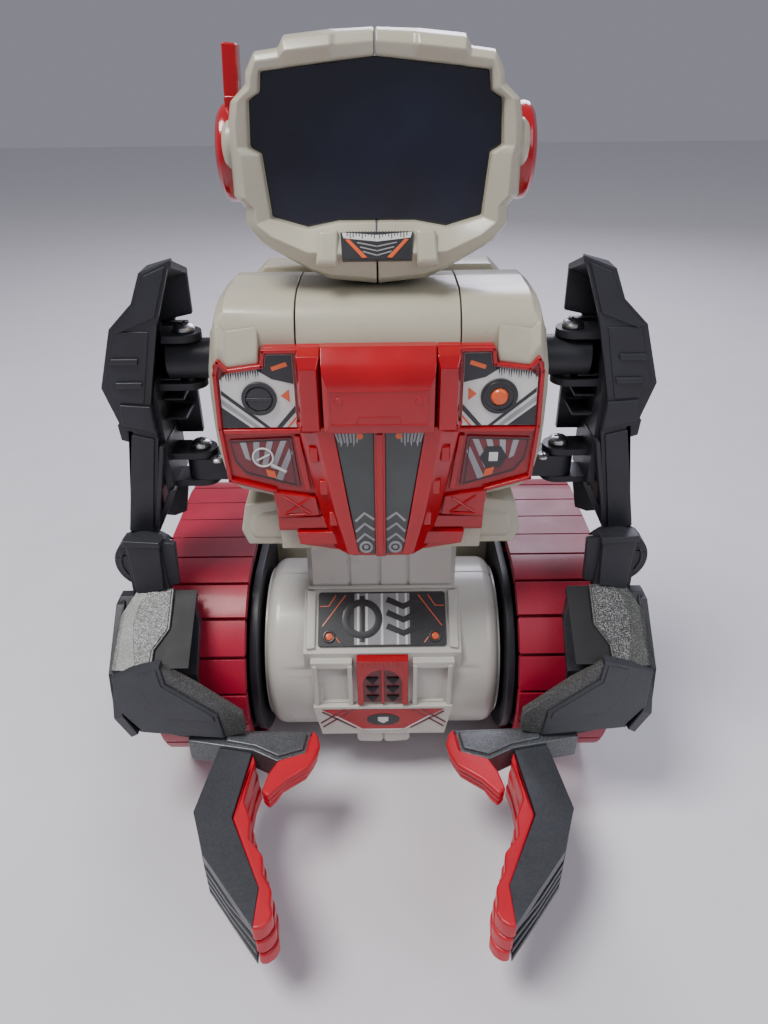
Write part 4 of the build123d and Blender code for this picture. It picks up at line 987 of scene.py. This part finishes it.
    # A band inside the links closes the gaps between them.
    band = bmesh.new()
    loop = []
    for y, start in ((REAR_HUB_Y, -90), (FRONT_HUB_Y, 90)):
        loop += arc((y, HUB_Z), 51.4, start, start + 180, 24)
    middle = (FRONT_HUB_Y + REAR_HUB_Y) / 2
    inner = [(middle + (y - middle) * 0.985, HUB_Z + (z - HUB_Z) * 0.972) for y, z in loop]
    rows = []
    for (y0, z0), (y1, z1) in zip(loop, inner):
        section = ((66, y0, z0), (109, y0, z0), (109, y1, z1), (66, y1, z1))
        rows.append([band.verts.new((side * x, y, z)) for x, y, z in section])
    for i, here in enumerate(rows):
        after = rows[(i + 1) % len(rows)]
        for k in range(4):
            band.faces.new((here[k], here[(k + 1) % 4], after[(k + 1) % 4], after[k]))
    piece(f"track_band_{label}", band, "chassis", "track_rubber", bevel=0)

    # Track cover: hub rings, two ribs and five screws on the outer face.
    cover_ring = bmesh.new()
    for y in (FRONT_HUB_Y, REAR_HUB_Y):
        washer(cover_ring, (y, HUB_Z), 22, 24.6, side * 109.5, side * 111.0, "x", count=48)
        washer(cover_ring, (y, HUB_Z), 6.5, 9.0, side * 109.5, side * 111.2, "x")
    prism(cover_ring, [(34, 38), (67.5, 38), (67.5, 42), (34, 42)], side * 109.5, side * 110.8, "x")
    prism(cover_ring, [(34, 70), (67.5, 70), (67.5, 74), (34, 74)], side * 109.5, side * 110.8, "x")
    piece(f"track_cover_detail_{label}", cover_ring, "chassis", "black_plastic", bevel=0.3)
    heads = bmesh.new()
    crosses = bmesh.new()
    AXES[f"out_{label}"] = (AXES["x"][0], AXES["x"][1], AXES["x"][2] * side)
    for y, z in ((20.5, 88), (81, 88), (20.5, 24), (81, 24), (50.7, 56)):
        domed_screw(heads, crosses, (y, z), 110.0, f"out_{label}", 2.8, 1.2)
    piece(f"track_cover_screws_{label}", heads, "chassis", "steel", bevel=0.1)
    # The screws' cross recesses are painted shade: near-black bars.
    piece(f"track_cover_crosses_{label}", crosses, "chassis", "hollow_black", 0)

# ---- back ---------------------------------------------------------------------------
pack = bmesh.new()
PACK = [(48.2, 56, 165.4, 248.3), (63, 56, 165.6, 248.3), (69, 54.5, 168.5, 246.4), (71.8, 51, 176, 242)]
PACK_CUT = 6
rings = []
for y, x, low_z, high_z in PACK:
    rings.append([(-x + PACK_CUT, y, low_z), (x - PACK_CUT, y, low_z), (x, y, low_z + PACK_CUT),
                  (x, y, high_z - PACK_CUT),
                  (x - PACK_CUT, y, high_z), (-x + PACK_CUT, y, high_z), (-x, y, high_z - PACK_CUT),
                  (-x, y, low_z + PACK_CUT)])
loft(pack, rings)
piece("backpack_shell", pack, "torso", "cream_plastic", bevel=1.2, replaces=["backpack"], segments=3)
rear_detail = bmesh.new()
for k in range(6):
    prism(rear_detail, rectangle(-34, 34, 188.5 + 7.6 * k, 191.9 + 7.6 * k), 71.2, 73, "y")
for bar in bars([(-40, 183), (-40, 236), (40, 236), (40, 183), (-40, 183)], 1.6):
    prism(rear_detail, bar, 71.2, 72.6, "y")
piece("backpack_louvres", rear_detail, "torso", "cream_plastic", bevel=0.5)
hatch_detail = bmesh.new()
for bar in bars([(-44, 26), (-44, 84), (44, 84), (44, 26), (-44, 26)], 1.4):
    prism(hatch_detail, bar, 124.6, 125.8, "y")
for k in range(7):
    prism(hatch_detail, rectangle(-9, 9, 70 + 1.6 * k, 70.8 + 1.6 * k), 124.6, 126.0, "y")
piece("battery_hatch_detail", hatch_detail, "chassis", "black_plastic", bevel=0.25)
rear_head = bmesh.new()
for k in range(5):
    prism(rear_head, rectangle(-22, 22, 280 + 6 * k, 282.6 + 6 * k), 49.4, 50.8, "y")
piece("head_louvres", rear_head, "head", "cream_plastic", bevel=0.5)


# ---- kept CAD nodes -----------------------------------------------------------------
NODE_LOOKS = {"chest_windows": "window_grey", "belly_housing_front": "white_plastic",
              "belly_housing_rear": "white_plastic", "waist_block": "white_plastic"}
BEVELS = {
    "belly_housing_front": 0.8, "belly_housing_rear": 0.8, "waist_block": 0.8, "neck": 0.8, "screen": 0.8,
    "forearm": 0.8, "shoulder_pad": 0.8, "chassis_box": 0.8, "track_cover": 0.9, "track_frame": 0.6,
    "track_links": 0.55, "battery_cover": 0.6, "sprocket": 0.4, "idler": 0.4, "arm_bracket": 0.4,
    "shoulder_mounts": 0.4, "chest_windows": 0.3, "number_plate": 0.3, "pivot_pins": 0.3,
    "power_switch": 0.3, "screws": 0.3,
}
for part in frame["record"]["subparts"]:
    name = part["node"]
    family = name.replace("_left", "").replace("_right", "")
    look = NODE_LOOKS.get(family, part["material_slot"])
    finish_node(name, look, BEVELS.get(family, 0))

add_camera()
add_studio()
add_floor()
low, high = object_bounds()
